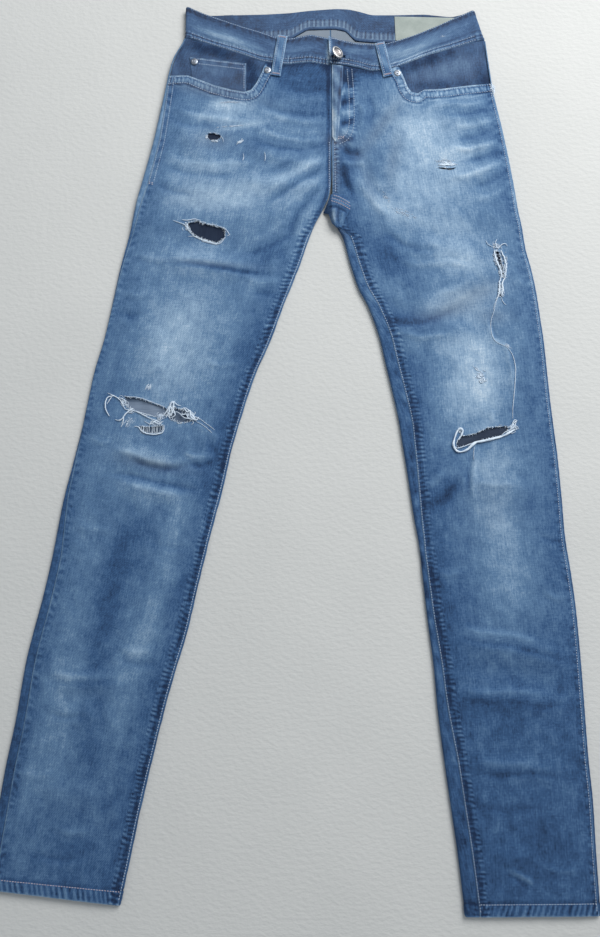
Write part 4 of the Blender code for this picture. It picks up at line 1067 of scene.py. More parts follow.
def mouth_waves(x, y):
    """Distance from the nearest pocket mouth, and the puckers of its hem."""
    right, _, right_run = near_path(RIGHT_MOUTH, x, y)
    left, _, left_run = near_path(LEFT_MOUTH, x, y)
    away = np.minimum(right, left)
    run = np.where(right < left, right_run, left_run) * 150
    return away, waves(run, away, 4.3) * band_beside(away, 3.5, 9.5, 1.2)


def details_relief(x, y):
    """The hems of the pocket mouths, and the fly over its hidden buttons."""
    away, puckers = mouth_waves(x, y)
    total = 0.5 * smooth(MOUTH_HEM + 0.6, MOUTH_HEM - 0.6, away) + 0.34 * puckers
    total -= 0.45 * smooth(1.3, 0, away)
    total = total - 0.28 * bell(away - 2.1, 0.8) - 0.28 * bell(away - 11, 0.8)
    fly = smooth(56, 62, x) * smooth(84, 78, x)
    for level in FLY_BUMPS_Y:
        total += 1.1 * fly * bell(y - level, FLY_BUMP_SIZE)
    return total - 0.35 * bell(distance(FLY_STITCHING, x, y), 1.3)


def details_fade_and_shade(x, y):
    """Rubbed edges and puckers at the pocket mouths and along the fly, with painted shade in the mouth
    hems' grooves, under the waistband and on the fly, and painted highlights on the fly's bumps.
    """
    away, puckers = mouth_waves(x, y)
    total = 0.42 * bell(away, 1.2) + 0.12 * bell(away - 6.5, 2.8)
    # Dark lines in the grooves beside the mouth hem are painted shade.
    total = total - 0.24 * bell(away - 2.6, 0.9) - 0.36 * bell(away - 11.8, 1.3)
    total = total + 0.16 * bell(away - 14.4, 1.5) + 0.30 * puckers
    total = total - 0.32 * bell(distance(BAND_SHADOW, x, y), 7.5) + spots(FLY_SHADOWS, x, y)
    total += 0.34 * bell(distance(FLY_FOLD, x, y), 1.5)
    seam, beside_seam, seam_run = near_path(CROTCH_SEAM, x, y)
    ladder = waves(seam_run * 72, seam, 3.6) * band_beside(seam, 1.5, 7, 1.5) * (beside_seam > 0)
    total = total + 0.36 * ladder + 0.14 * bell(seam - 4, 3.5) * (beside_seam > 0)
    total += 0.34 * bell(seam, 1.4)
    stitched, side, run = near_path(FLY_STITCHING, x, y)
    total += 0.20 * waves(run * 115, stitched, 4.4) * bell(stitched - 3, 3.4)
    # Painted shade over the fly's cover, a painted highlight on each bump, and a painted shadow line below
    # it.
    cover = smooth(60, 66, x) * smooth(82, 76, x) * smooth(366, 376, y)
    total -= 0.14 * cover
    for level in FLY_BUMPS_Y:
        total += 0.30 * cover * bell(y - level, 5.5)
        total -= 0.30 * cover * bell(y - level + 13 - 0.3 * (x - 70), 3.4)
    return total + 0.14 * bell(stitched - 7.5, 1.4) * (side < 0)


def hem_fade(up):
    """Dark above the hem's sewing, and pale where its edge is rubbed."""
    return -0.12 * bell(up - HEM_DEPTH, 2.5), 0.3 * bell(up, 1.5)


def make_front(name, leg, start_down, top_edge, rips):
    down = panel_rows(leg, start_down, FRONT_PITCH[0])
    start, end = front_span(leg, down)
    around = columns_between(start, end, round(float((end - start).max()) / FRONT_PITCH[1]))
    points = leg.surface(down, around)
    relief = seam_relief(leg, down, around - start, end - around, True)
    relief += details_relief(points[..., 0], points[..., 1])
    points = points + grid_normals(points, 1) * relief[..., None]
    front = sheet_mesh(name + "_cloth", points, cloth_places(down, around), WALL, 1, DENIM)
    trim(front, [above(top_edge)] + rips, "DIFFERENCE")

    def wear_at(x, y, z, around, low):
        start, end = front_span(leg, -low)
        from_side, from_inseam = around - start, end - around
        fade_and_shade, fray, grime_and_shade = front_wear_and_shade(x, y)
        fade_and_shade += details_fade_and_shade(x, y)
        fade_and_shade += 0.30 * seam_waves(leg, -low, from_side, from_inseam, True)
        fade_and_shade = fade_and_shade - 0.09 * bell(from_side, 11) - 0.12 * bell(from_inseam, 14)
        fade_and_shade = fade_and_shade + 0.30 * bell(from_side, 1.3) + 0.34 * bell(from_inseam, 1.1)
        fade_and_shade = fade_and_shade - 0.20 * bell(from_inseam - 4.8, 3.2) + 0.08 * bell(from_inseam - 8.5, 1.6)
        dark, rubbed = hem_fade(leg.length + low)
        return fade_and_shade + dark + rubbed, fray, grime_and_shade

    paint(front, wear_at)
    finish_piece(front, name)
    return front


# %% The two front panels
RIGHT_TOP = [
    (-210, 463), (-135, 463), (-120, 457), (-100, 449), (-78, 443), (-62, 440), (-53, 443), (-46, 453),
    (-39, 468), (-35, 481.7), (-20, 479.2), (-6, 478.2), (22, 481.7), (50, 477.2),
]
LEFT_TOP = [
    (50, 479.2), (69, 476.2), (84, 473.2), (100, 469.2), (116, 469.2), (135, 474.5), (139, 474),
    (145, 458), (149, 447), (154, 440), (162, 438), (170, 443), (191, 444), (230, 449), (247, 451),
    (275, 454),
]
RIGHT_RIPS = [
    ragged(HIP_HOLE, 2.0, 0.5, 3), ragged(THIGH_HOLE, 2.4, 0.8, 4),
    ragged(RIGHT_KNEE_SLIT, 2.2, 0.8, 5), ragged(RIGHT_KNEE_GAP, 2.2, 0.8, 9),
    ragged(RIGHT_KNEE_HOLE, 2.0, 0.6, 6),
]
LEFT_RIPS = [
    ragged(SIDE_RIP, 2.0, 0.35, 7), ragged(SIDE_SLIT, 2.0, 0.25, 10),
    ragged(LEFT_KNEE_RIP, 2.4, 0.6, 8), ragged(HIP_TEAR, 2.0, 0.3, 11),
]

front_right = make_front("front_right_panel", RIGHT, 22, RIGHT_TOP, RIGHT_RIPS)
front_left = make_front("front_left_panel", LEFT, 22, LEFT_TOP, LEFT_RIPS)
for piece in (front_right, front_left):
    print(piece.name, len(piece.data.polygons), "faces")

# %% [markdown]
# ## The back panels and the yokes
# The back of a leg is wider than the front and comes round both edges. The yoke
# above it is a separate wedge of cloth, which gives the seat its shape. Both are
# made as the front is, from the lower half of the same tube.

# %% Back panels and yokes
YOKE_CENTRE_Y = 452.0
YOKE_RISE = 0.13
RIGHT_SEAT_TOP = [
    (-160, 516.2), (-137, 516.2), (-112, 515.2), (-36, 514.2), (-3, 516.2), (19, 530.2), (50, 531.3),
]
LEFT_SEAT_TOP = [
    (50, 531.3), (56, 531.2), (70, 528.2), (82, 514.2), (104, 512.2), (136, 511.2), (174, 511.2),
    (212, 511.2), (247, 513), (275, 513.2),
]
BACK_LEVELS = [
    (-560, 0.27), (-300, 0.33), (0, 0.36), (200, 0.42), (330, 0.52), (450, 0.5), (560, 0.42),
]
BACK_FADES = [
    (-62, 350, 50, 60, 0, 0.14), (168, 350, 50, 60, 0, 0.14), (-120, 170, 80, 36, 80, 0.2),
    (200, 170, 80, 38, 85, 0.2), (-165, -10, 70, 34, 80, 0.06), (232, -10, 70, 34, 85, 0.06),
    (-228, -260, 110, 24, 80, 0.14), (258, -260, 110, 26, 87, 0.14), (50, 380, 60, 8, 90, -0.1),
    (-60, 474, 70, 10, 0, 0.08), (165, 474, 70, 10, 0, 0.08),
]


def back_span(leg, down):
    """Where a back panel starts and ends round the section."""
    side, inseam = leg.insets_at(down)
    return side - SEAM_GAP / 2, -(leg.ring(down) + inseam - SEAM_GAP / 2)


def yoke_line(x, shift):
    return YOKE_CENTRE_Y + YOKE_RISE * abs(x - CENTRE_X) + shift


def back_columns(leg, down, start, end, count):
    """Columns of the back, closer together where it comes round the edges."""
    ring = leg.ring(down)
    turn = EDGE_ARC + 1.0
    steps = np.linspace(0, 1, 13)
    first = start + (-turn - start) * steps
    last = -(ring - turn) + (end + ring - turn) * steps
    share = (np.arange(count - 1) + 1) / count
    middle = first[:, -1:] + (last[:, :1] - first[:, -1:]) * share
    return np.concatenate([first, middle, last], axis=1)


def back_wear_and_shade(leg):
    def wear_at(x, y, z, around, low):
        start, end = back_span(leg, -low)
        fade_and_shade = np.interp(y, *np.transpose(BACK_LEVELS)) + spots(BACK_FADES, x, y)
        fade_and_shade -= 0.16 * crease_height(BACK_CREASES, x, y)
        fade_and_shade -= 0.13 * smooth(2.6, 4.2, z) * smooth(300, 250, y)
        # Painted shade in the gap between the legs under the crotch, darker and greyer.
        crotch = spots([(62, 268, 16, 24, 0, 1)], x, y)
        fade_and_shade -= 0.34 * crotch
        fade_and_shade += 0.13 * seam_waves(leg, -low, start - around, around - end, False)
        dark, rubbed = hem_fade(leg.length + low)
        return fade_and_shade + dark + rubbed, 0, 0.3 * crotch

    return wear_at


def make_back(name, leg, down, cuts):
    start, end = back_span(leg, down)
    around = back_columns(leg, down, start, end, round(float(leg.ring(down).max()) / BACK_PITCH[1]))
    points = leg.surface(down, around, front=False)
    relief = seam_relief(leg, down, start - around, around - end, False)
    points = points + grid_normals(points, -1) * relief[..., None]
    points[..., 2] = np.maximum(points[..., 2], 0.03)
    back = sheet_mesh(name + "_cloth", points, cloth_places(down, around), WALL, -1, DENIM)
    trim(back, cuts, "DIFFERENCE")
    paint(back, back_wear_and_shade(leg))
    finish_piece(back, name)
    return back


backs = []
for side_name, leg, side, seat_edge in (
    ("right", RIGHT, -1, RIGHT_SEAT_TOP), ("left", LEFT, 1, LEFT_SEAT_TOP),
):
    first, last = sorted((CENTRE_X - side * 3, CENTRE_X + side * 650))
    half = SEAM_GAP / 2
    lower = [(x, yoke_line(x, -half)) for x in (first, last)]
    under_yoke = [(x, yoke_line(x, half)) for x in (last, first)] + [(first, -700), (last, -700)]
    down = panel_rows(leg, 40, BACK_PITCH[0])
    backs.append(make_back(f"back_{side_name}_panel", leg, down, [above(lower)]))
    down = rows_between(0, 130, BACK_PITCH[0])
    backs.append(make_back(f"back_yoke_{side_name}", leg, down, [above(seat_edge), under_yoke]))
for piece in backs:
    print(piece.name, len(piece.data.polygons), "faces")

# %% [markdown]
# ## The waistband
# The waistband is one long strip, folded over along its length and stitched at
# both edges. It runs from the end under the button round the right side, along the
# back and round the left side to the end with the buttonhole, which lies on top.
# A table gives its upper and lower edge and its height, station by station.

# %% The line of the waistband
BAND_THICKNESS = 2.4
BAND_PITCH = 2.2
BAND_PUCKER = 8.5
RIB_PITCH = 3.6
FOLD_STEPS = 8
# The upper edge, the lower edge and the height of the middle, all in mm
BAND_STATIONS = [
    (74, 512, 74, 477, 5.6), (47, 517, 47, 478, 5.6), (24, 522, 22, 482.5, 5.9), (-3, 516, -6, 479, 6.6),
    (-20, 517, -20, 480, 6.6), (-40, 525, -40, 483, 6.6), (-68, 534, -66, 493, 6.6),
    (-115, 551, -102, 505, 6.6), (-137, 561, -137, 517, 6.6), (-137, 561, -137, 517, 2.7),
    (-115, 551, -112, 516, 2.7), (-36, 553, -36, 515, 2.7), (-3, 555, -3, 517, 2.7),
    (19, 558, 19, 531, 2.7), (56, 561, 56, 532, 2.7), (73, 560.5, 70, 529, 2.7), (88, 557, 82, 515, 2.7),
    (104, 552, 104, 513, 2.7), (136, 552, 136, 512, 2.7), (174, 553, 174, 512, 2.7),
    (209, 549, 212, 512, 2.7), (236, 556, 248, 514, 2.7), (236, 556, 248, 514, 6.6),
    (216, 547, 207, 501, 6.6), (192, 535, 175, 492, 6.6), (160, 521, 137, 476, 6.6),
    (140, 514, 116, 470, 6.6), (116, 507, 100, 470, 7), (84, 508, 84, 474, 8), (69, 511, 69, 477, 8.3),
    (47, 518, 49, 480, 8.3),
]


def band_line():
    """The stations with a round fold at each side, then closer stations between."""
    stations = []
    for station, following in zip(BAND_STATIONS, BAND_STATIONS[1:] + BAND_STATIONS[-1:]):
        stations.append(station)
        top_x, top_y, bottom_x, bottom_y, z = station
        half = (z - following[4]) / 2
        if abs(half) < 1.5:
            continue
        for k in range(1, FOLD_STEPS):
            turn = math.pi * k / FOLD_STEPS
            reach = -half * math.sin(turn)
            level = (z + following[4]) / 2 + half * math.cos(turn)
            stations.append((top_x + reach, top_y, bottom_x + reach, bottom_y, level))
    table = np.array(stations, float)
    middle = np.column_stack([(table[:, :2] + table[:, 2:4]) / 2, table[:, 4]])
    knots = run_along(middle)
    run = np.linspace(0, knots[-1], round(knots[-1] / BAND_PITCH))
    run = np.unique(np.concatenate([run, knots[np.abs(np.diff(table[:, 4], prepend=0)) > 0.01]]))
    fine = np.stack([np.interp(run, knots, table[:, k]) for k in range(5)], axis=1)
    for column in (1, 3):
        fine[:, column] = evened(run, fine[:, column])
    return run, fine


BAND_RUN, BAND_LINE = band_line()
BAND_HEIGHT = np.hypot(BAND_LINE[:, 0] - BAND_LINE[:, 2], BAND_LINE[:, 1] - BAND_LINE[:, 3])
print("waistband:", round(BAND_RUN[-1]), "mm round")

# %% Waistband
BAND_CREASES = [
    (3, 0.5, [(-124, 530), (-96, 520), (-70, 512), (-44, 502)]),
    (2.5, -0.5, [(-126, 522), (-98, 512), (-72, 503), (-46, 493)]),
    (2.5, 0.4, [(-20, 500), (0, 497), (24, 502), (44, 498)]),
    (3, 0.5, [(108, 492), (132, 494), (160, 502), (196, 518)]),
    (2.5, -0.5, [(112, 485), (140, 487), (168, 495), (200, 509)]),
    (2.5, 0.4, [(90, 500), (76, 494), (74, 484)]),
]
# How far above the lower edge a line runs, its width, and how pale it is. Each line is also a ridge or a
# groove of the band, so its colour is partly wear and partly painted light and shade.
BAND_LINES = [
    (2.6, 1.0, 0.18), (5.0, 1.0, -0.24), (7.6, 1.0, 0.16), (10.2, 1.1, -0.22), (13.4, 1.3, 0.12),
    (17, 1.2, -0.1),
]
BAND_FADES = [
    (-78, 512, 46, 9, -21, 0.4), (-112, 522, 30, 12, -22, 0.06), (-122, 548, 24, 5, -24, -0.06),
    (-4, 503, 26, 9, 0, 0.06), (20, 484, 30, 5, 0, 0.06), (168, 507, 52, 8, 25, 0.24),
    (122, 498, 26, 10, 6, 0.18), (212, 530, 26, 8, 22, 0.04), (47.5, 498, 2.6, 24, 0, 0.75),
    (86, 497, 20, 14, 0, 0.18), (150, 524, 40, 4, 22, -0.05), (160, 490, 40, 8, 16, 0.42),
    (70, 482, 22, 7, -8, -0.08),
]


def band_ring(height, columns=34):
    """The section of the band: how far down it, and how far out of its middle."""
    radius = BAND_THICKNESS / 2
    share = np.arange(columns + 1) / columns
    share = 0.7 * share + 0.15 * (1 - np.cos(math.pi * share))
    face = radius + (height - 2 * radius) * share
    turn = math.pi * np.arange(1, 6) / 6
    down = np.concatenate([face, height - radius + radius * np.sin(turn),
                           face[::-1], radius - radius * np.sin(turn)])
    out = np.concatenate([np.full(columns + 1, radius), radius * np.cos(turn),
                          np.full(columns + 1, -radius), -radius * np.cos(turn)])
    return down, out


def make_waistband():
    top, low = (np.column_stack([BAND_LINE[:, k:k + 2], BAND_LINE[:, 4]]) for k in (0, 2))
    step = np.gradient((top + low) / 2, axis=0)
    out = np.stack([step[:, 2], 0 * step[:, 0], -step[:, 0]], axis=1)
    out /= np.linalg.norm(out, axis=1, keepdims=True)
    across = (low - top) / BAND_HEIGHT[:, None]
    half = BAND_THICKNESS / 2
    rings = []
    for k, run in enumerate(BAND_RUN):
        down, away = band_ring(BAND_HEIGHT[k])
        from_low = BAND_HEIGHT[k] - down
        middle = top[k] + across[k] * down[:, None]
        edges = band_beside(down, 1, 7) + band_beside(from_low, 1, 7)
        outer = 0.26 * waves(run, down, BAND_PUCKER) * edges
        outer -= 0.3 * smooth(2, 9, down) * smooth(2, 9, from_low)
        outer += crease_height(BAND_CREASES, middle[:, 0], middle[:, 1])
        outer += sum(1.5 * amount * bell(from_low - level, wide) for level, wide, amount in BAND_LINES)
        height = away + np.where(away > 0, outer, 0) * smooth(0, half, away)
        if BAND_LINE[k, 4] < 4:
            ribs = 0.3 * np.sin(2 * math.pi * run / RIB_PITCH) * band_beside(from_low, 0.5, 9)
            height = np.minimum(height - np.where(away < 0, ribs, 0) * smooth(0, -half, away), half)
        curl = 2.4 * smooth(5.5, 0, BAND_RUN[-1] - run) ** 2
        height = height * (0.45 + 0.55 * smooth(0, 2.5, min(run, BAND_RUN[-1] - run))) + curl
        rings.append(middle + out[k] * height[:, None])
    points = np.array(rings)
    count = points.shape[1]
    index = np.arange(points.shape[0] * count).reshape(points.shape[:2])
    after = np.roll(index, -1, axis=1)
    quads = np.stack([index[:-1], index[1:], after[1:], after[:-1]], axis=-1).reshape(-1, 4)
    faces = quads.tolist() + [index[0].tolist(), index[-1][::-1].tolist()]
    band = link_mesh("waistband_cloth", points.reshape(-1, 3), faces, DENIM, 60)
    if signed_volume(band) < 0:
        band.data.flip_normals()
    around = np.linspace(0, 1, count + 1)
    layer = band.data.uv_layers.new(name="cloth")
    for polygon in band.data.polygons:
        corners = [(k, *divmod(band.data.loops[k].vertex_index, count)) for k in polygon.loop_indices]
        closing = any(column == count - 1 for _, _, column in corners)
        for k, row, column in corners:
            share = around[count if closing and column == 0 else column]
            across_cloth = share * (2 * BAND_HEIGHT[row] + math.pi * BAND_THICKNESS)
            layer.data[k].uv = (across_cloth * MM, BAND_RUN[row] * MM)
    return band


def signed_volume(piece):
    mesh = piece.data
    mesh.calc_loop_triangles()
    total = 0.0
    for triangle in mesh.loop_triangles:
        a, b, c = (mesh.vertices[k].co for k in triangle.vertices)
        total += a.dot(b.cross(c)) / 6
    return total


def band_wear_and_shade(x, y, z, across, run):
    height = np.interp(run, BAND_RUN, BAND_HEIGHT)
    down = np.where(across < height, across, 2 * height + math.pi * BAND_THICKNESS - across)
    from_low = height - down
    front = smooth(4.2, 4.8, z)
    fade_and_shade = 0.21 + spots(BAND_FADES, x, y) + 0.16 * crease_height(BAND_CREASES, x, y)
    for level, wide, amount in BAND_LINES:
        fade_and_shade += amount * bell(from_low - level, wide)
    fade_and_shade = fade_and_shade - 0.14 * smooth(11, 4, down) - 0.10 * bell(x - 100, 26) * smooth(30, 6, down)
    puckers = 0.10 * waves(run, down, BAND_PUCKER) * (band_beside(down, 1, 7) + band_beside(from_low, 1, 7))
    puckers += 0.20 * waves(run, from_low, 3.7) * band_beside(from_low, 3, 13, 3)
    ribbed = smooth(-34, -14, x) * smooth(52, 44, x) * band_beside(from_low, 2, 12)
    fade_and_shade = fade_and_shade + puckers + 0.20 * ribbed * np.sin(2 * math.pi * run / 4.6)
    edge = 0.2 * bell(down, 1.6) + 0.2 * bell(from_low, 1.4)
    back = 0.11 + 0.27 * np.sin(2 * math.pi * run / RIB_PITCH) * band_beside(from_low, 0.5, 9)
    back = back + 0.17 * band_beside(from_low, 0, 7) + 0.10 * smooth(-150, -40, -np.abs(x - 50))
    outer_back = smooth(1.3, 0.7, z)
    back += outer_back * (0.40 - back)
    fade_and_shade = front * (fade_and_shade + edge) + (1 - front) * (back + 0.5 * edge)
    grime_and_shade = 0.20 * front + (1 - front) * (1 - outer_back) * (0.25 + 0.25 * band_beside(from_low, 0, 8))
    return fade_and_shade, spots([(196, 519, 7, 3, 0, 0.5)], x, y), grime_and_shade


BUTTON_X = 53.4
BUTTON_Y = 489.2
HOLE_LEFT = BUTTON_X - 2.4
HOLE_RIGHT = HOLE_LEFT + 18.0
HOLE_LOW = BUTTON_Y - 1.9
HOLE_TOP = BUTTON_Y + 1.9
BUTTONHOLE = [(HOLE_LEFT, HOLE_LOW), (HOLE_RIGHT, HOLE_LOW), (HOLE_RIGHT, HOLE_TOP), (HOLE_LEFT, HOLE_TOP)]
UNDER_LAP = 6.95
waistband = make_waistband()
trim(waistband, [BUTTONHOLE], "DIFFERENCE", low=UNDER_LAP)
paint(waistband, band_wear_and_shade)
finish_piece(waistband, "waistband")
print(waistband.name, len(waistband.data.polygons), "faces")

# %% [markdown]
# ## Cloth behind the openings
# The mouths of the pockets and the rips show other cloth behind them: the pocket
# facings with the small coin pocket, a dark pocket bag, and patches behind the
# knees. Each follows the front panel a little further in, as it does in a real
# pair, so it never pokes through.

# %% Plain cloth material


def plain_cloth(name, dark, pale, thread, slub, roughness=0.92):
    """A cotton of one colour in a plain weave; thread is in threads a metre."""
    made, tree, shader = new_material(name, roughness, sheen=0.05, specular=0.12)
    place = add(tree, "UVMap", uv_map="cloth").outputs["UV"]
    warp = add(tree, "TexWave", {"Vector": place, "Scale": thread}, bands_direction="X").outputs["Fac"]
    weft = add(tree, "TexWave", {"Vector": place, "Scale": thread}, bands_direction="Y").outputs["Fac"]
    slubs = grain(tree, place, slub, 3)
    soft = grain(tree, place, (60, 60), 3)
    level = maths(tree, "MULTIPLY_ADD", slubs, 0.7, maths(tree, "MULTIPLY_ADD", soft, 0.7, -0.2))
    weave = maths(tree, "MULTIPLY", warp, weft)
    level = maths(tree, "MULTIPLY_ADD", weave, 0.15, level)
    wear_and_shade = add(tree, "Attribute", attribute_name="wear_and_shade")
    fade_and_shade = add(tree, "SeparateColor", {"Color": wear_and_shade.outputs["Color"]}).outputs["Red"]
    level = maths(tree, "ADD", level, maths(tree, "SUBTRACT", fade_and_shade, 0.5))
    tree.links.new(mixed(tree, level, dark, pale), shader.inputs["Base Color"])
    add_bump(tree, shader, maths(tree, "ADD", weave, slubs), 0.5, 0.0004)
    return made


POCKET_CLOTH, DARK_CLOTH, GREY_BACKING = (plain_cloth(*recipe) for recipe in (
    ("pocket_cotton", (0.006, 0.011, 0.028, 1), (0.026, 0.042, 0.078, 1), 260, (500, 60)),
    ("dark_patch", (0.012, 0.018, 0.036, 1), (0.05, 0.07, 0.11, 1), 240, (60, 800)),
    ("grey_blue_patch", (0.045, 0.075, 0.125, 1), (0.27, 0.34, 0.45, 1), 220, (50, 900)),
))

# %% Layers that follow the front panels
UNDER_PANEL = -1.6
UNDER_COIN_POCKET = -2.9


def layer_grid(leg, outline, level, pitch, rise=None):
    """A grid on the front of a leg that covers an outline, moved out or in."""
    xs, ys = np.transpose(outline)
    every = np.linspace(0, leg.length, 600)
    x1, y1, _, y2 = leg.edges(every)
    keep = (np.maximum(y1, y2) > ys.min() - 8) & (np.minimum(y1, y2) < ys.max() + 8)
    down = rows_between(every[keep][0], every[keep][-1], pitch)
    start, end = front_span(leg, down)
    from_outer = np.abs(xs[:, None] - x1[keep][None, :])
    first = np.clip(from_outer.min() - 8, start + 0.5, end)
    last = np.clip(from_outer.max() + 8, start, end - 0.5)
    count = max(4, round(float((last - first).max()) / pitch))
    around = first + (last - first) * np.linspace(0, 1, count + 1)
    points = leg.surface(down, around)
    lift = level + (rise(points[..., 0], points[..., 1]) if rise else 0.0)
    points = points + grid_normals(points, 1) * np.broadcast_to(lift, around.shape)[..., None]
    return points, cloth_places(down, around)


def make_layer(node, leg, level, outline, finish, wear_at, pitch=3.2, wall=LAYER_WALL, rise=None):
    points, places = layer_grid(leg, outline, level, pitch, rise)
    layer = sheet_mesh(node + "_cloth", points, places, wall, 1, finish)
    trim(layer, [outline], "INTERSECT")
    paint(layer, wear_at)
    finish_piece(layer, node)


def even_wear(x, y, *_):
    return 0.5 + 0.10 * np.sin(x / 9.0) * np.sin(y / 7.0), 0, 0


RIGHT_FACING = [
    (-148, 521), (-132, 519), (-102, 509), (-66, 497), (-38, 487), (-28, 478), (-32, 458), (-42, 438),
    (-60, 428), (-80, 430), (-102, 436), (-124, 445), (-150, 449), (-172, 452), (-168, 480),
]
LEFT_FACING = [
    (137, 481), (173, 496), (205, 505), (236, 515), (258, 517), (266, 446), (249, 440), (230, 437),
    (191, 431), (166, 428), (146, 430), (134, 446), (130, 464), (130, 473),
]
COIN_POCKET = [(-133, 490), (-60, 481), (-60, 429), (-128, 441)]
POCKET_BAG = [
    (-160, 424), (-112, 424), (-66, 421), (-62, 360), (-60, 262), (-74, 232), (-104, 222), (-140, 228),
    (-160, 258),
]
RIGHT_KNEE_PATCH = [(-224, 52), (-104, 32), (-112, -22), (-214, -18)]
SIDE_PATCH = [(240, 252), (276, 252), (278, 152), (242, 152)]
LEFT_KNEE_PATCH = [(184, 12), (282, 20), (278, -36), (186, -44)]
FACING_FADES_AND_SHADES = [
    (196, 468, 44, 12, 8, 0.1), (176, 486, 52, 9, 22, -0.2), (230, 484, 30, 9, 12, 0.1),
    (140, 460, 8, 24, 0, -0.2), (250, 470, 14, 40, 0, -0.16), (190, 452, 60, 7, 3, -0.16),
    (-100, 500, 44, 8, -18, -0.2), (-52, 456, 12, 30, 0, -0.3), (-118, 498, 34, 10, -12, -0.08),
    (-146, 480, 14, 30, 0, -0.06),
]


def facing_wear_and_shade(x, y, *_):
    """Pale in the middle, with painted shade under the waistband and beside the mouth."""
    fade_and_shade = 0.22 + spots(FACING_FADES_AND_SHADES, x, y)
    fade_and_shade += 0.03 * np.sin(x / 4.3 + y / 11)
    return fade_and_shade, 0, 0.34 * smooth(-0.05, 0.3, fade_and_shade)


def facing_rise(x, y):
    """A facing comes up to the waistband where it is sewn to it."""
    top = [(-148, 518), (-66, 496), (-28, 478)] if x.mean() < 50 else [(130, 473), (173, 492), (258, 515)]
    return 1.6 * smooth(15, 6, distance(top, x, y))


def knee_patch_wear_and_shade(x, y, *_):
    """Pale in the open slit, with painted shade in the small gap, behind the low hole and under the upper
    edge of the rip.
    """
    shades = [(-134, 14, 18, 12, 0, -0.34), (-170, -1, 20, 6, 0, -0.75), (-198, 36, 12, 4, 0, -0.3)]
    top = distance([(-206, 40), (-172, 33), (-153, 26), (-116, 12)], x, y)
    return 0.56 + spots(shades, x, y) - 0.30 * bell(top, 4.5) + 0.05 * np.sin(x / 3.1), 0, 0


def coin_wear(x, y, *_):
    top, side = (distance(COIN_POCKET[k:k + 2], x, y) for k in (0, 1))
    fade_and_shade = 0.20 + 0.32 * bell(top, 1.6) + 0.30 * bell(side, 1.4)
    fade_and_shade = fade_and_shade + 0.10 * crumple(x, y, 9, 4.4) + 0.12 * bell(top - 8, 1.2)
    fade_and_shade += 0.12 * np.sin(x / 2.4) * bell(top, 7)
    return fade_and_shade + spots([(-100, 470, 24, 8, -8, 0.10), (-70, 455, 10, 16, 0, -0.06)], x, y), 0, 0.30


def coin_rise(x, y):
    """The hem along the top and the right side of the coin pocket."""
    top, side = (distance(COIN_POCKET[k:k + 2], x, y) for k in (0, 1))
    return 0.35 * smooth(9.5, 8.5, np.minimum(top, side)) - 0.35


for node, leg, outline in (
    ("pocket_facing_right", RIGHT, RIGHT_FACING), ("pocket_facing_left", LEFT, LEFT_FACING),
):
    make_layer(node, leg, UNDER_COIN_POCKET, outline, DENIM, facing_wear_and_shade, rise=facing_rise)
make_layer("coin_pocket", RIGHT, UNDER_PANEL, COIN_POCKET, DENIM, coin_wear, 2.0, rise=coin_rise)
make_layer("pocket_bag_right", RIGHT, UNDER_PANEL, POCKET_BAG, POCKET_CLOTH, even_wear)
make_layer("right_knee_backing", RIGHT, UNDER_PANEL, RIGHT_KNEE_PATCH, GREY_BACKING, knee_patch_wear_and_shade)
make_layer("side_rip_backing", LEFT, UNDER_PANEL, SIDE_PATCH, DARK_CLOTH, even_wear)
make_layer("left_knee_backing", LEFT, UNDER_PANEL, LEFT_KNEE_PATCH, DARK_CLOTH, even_wear)
print("layers behind the openings are made")

# %% [markdown]
# ## The edge of the fly
# The fly closes with hidden buttons. Its turned edge rolls up a little between
# them, so it shows as a pale strip with soft bumps that narrows to the bar tack.

# %% Fly edge
FLY_EDGE = [(51.5, 478.2), (66, 476.2), (65, 450), (62, 415), (59, 378), (55, 372), (51.5, 378)]
FLY_RISE = 1.7


def fly_rise(x, y):
    away = distance(FLY_EDGE + FLY_EDGE[:1], x, y)
    bumps = sum(0.8 * bell(y - level, FLY_BUMP_SIZE) for level in FLY_BUMPS_Y)
    folds = 0.2 * np.sin((y + 0.8 * x) / 3.1)
    return (bumps + folds) * smooth(0, 5, away) - 1.1 * smooth(3.2, 0, away)


def fly_wear_and_shade(x, y, *_):
    away = distance(FLY_EDGE + FLY_EDGE[:1], x, y)
    # Painted shade right of the narrow pale strip and below each bump.
    limit = np.interp(y, [372, 400, 434, 474], [55.5, 57, 58.5, 63])
    fade_and_shade = 0.44 + 0.32 * smooth(436, 395, y) - 0.30 * smooth(limit - 1, limit + 1.5, x)
    fade_and_shade = fade_and_shade + 0.26 * bell(away, 1.3) + 0.12 * np.sin((y + 1.7 * x) / 4.6)
    return fade_and_shade - 0.10 * sum(bell(y - level, 5) for level in (426, 398, 379)), 0, 0.3


make_layer("fly_edge", LEFT, FLY_RISE, FLY_EDGE, DENIM, fly_wear_and_shade, 1.2, wall=1.2, rise=fly_rise)
print("fly edge is made")

# %% [markdown]
# ## Belt loops, back pockets and the label
# A belt loop is a narrow folded strip, stitched down both sides and tacked at both
# ends, so its middle stands up like a low rib. It is made as a small closed sheet
# whose height along the band comes from the same values as the solid loop.
# The back pockets are single pieces with a turned edge and a hem at the mouth. The
# label is a plain woven piece with nothing on it.

# %% Finding the height of the cloth
Landing = namedtuple("Landing", "point normal")


def surface_tree(*pieces):
    """One search tree over the outside of several pieces."""
    verts, polygons = [], []
    for piece in pieces:
        offset = len(verts)
        verts += [vertex.co for vertex in piece.data.vertices]
        polygons += [[offset + k for k in face.vertices] for face in piece.data.polygons]
    return BVHTree.FromPolygons(verts, polygons)


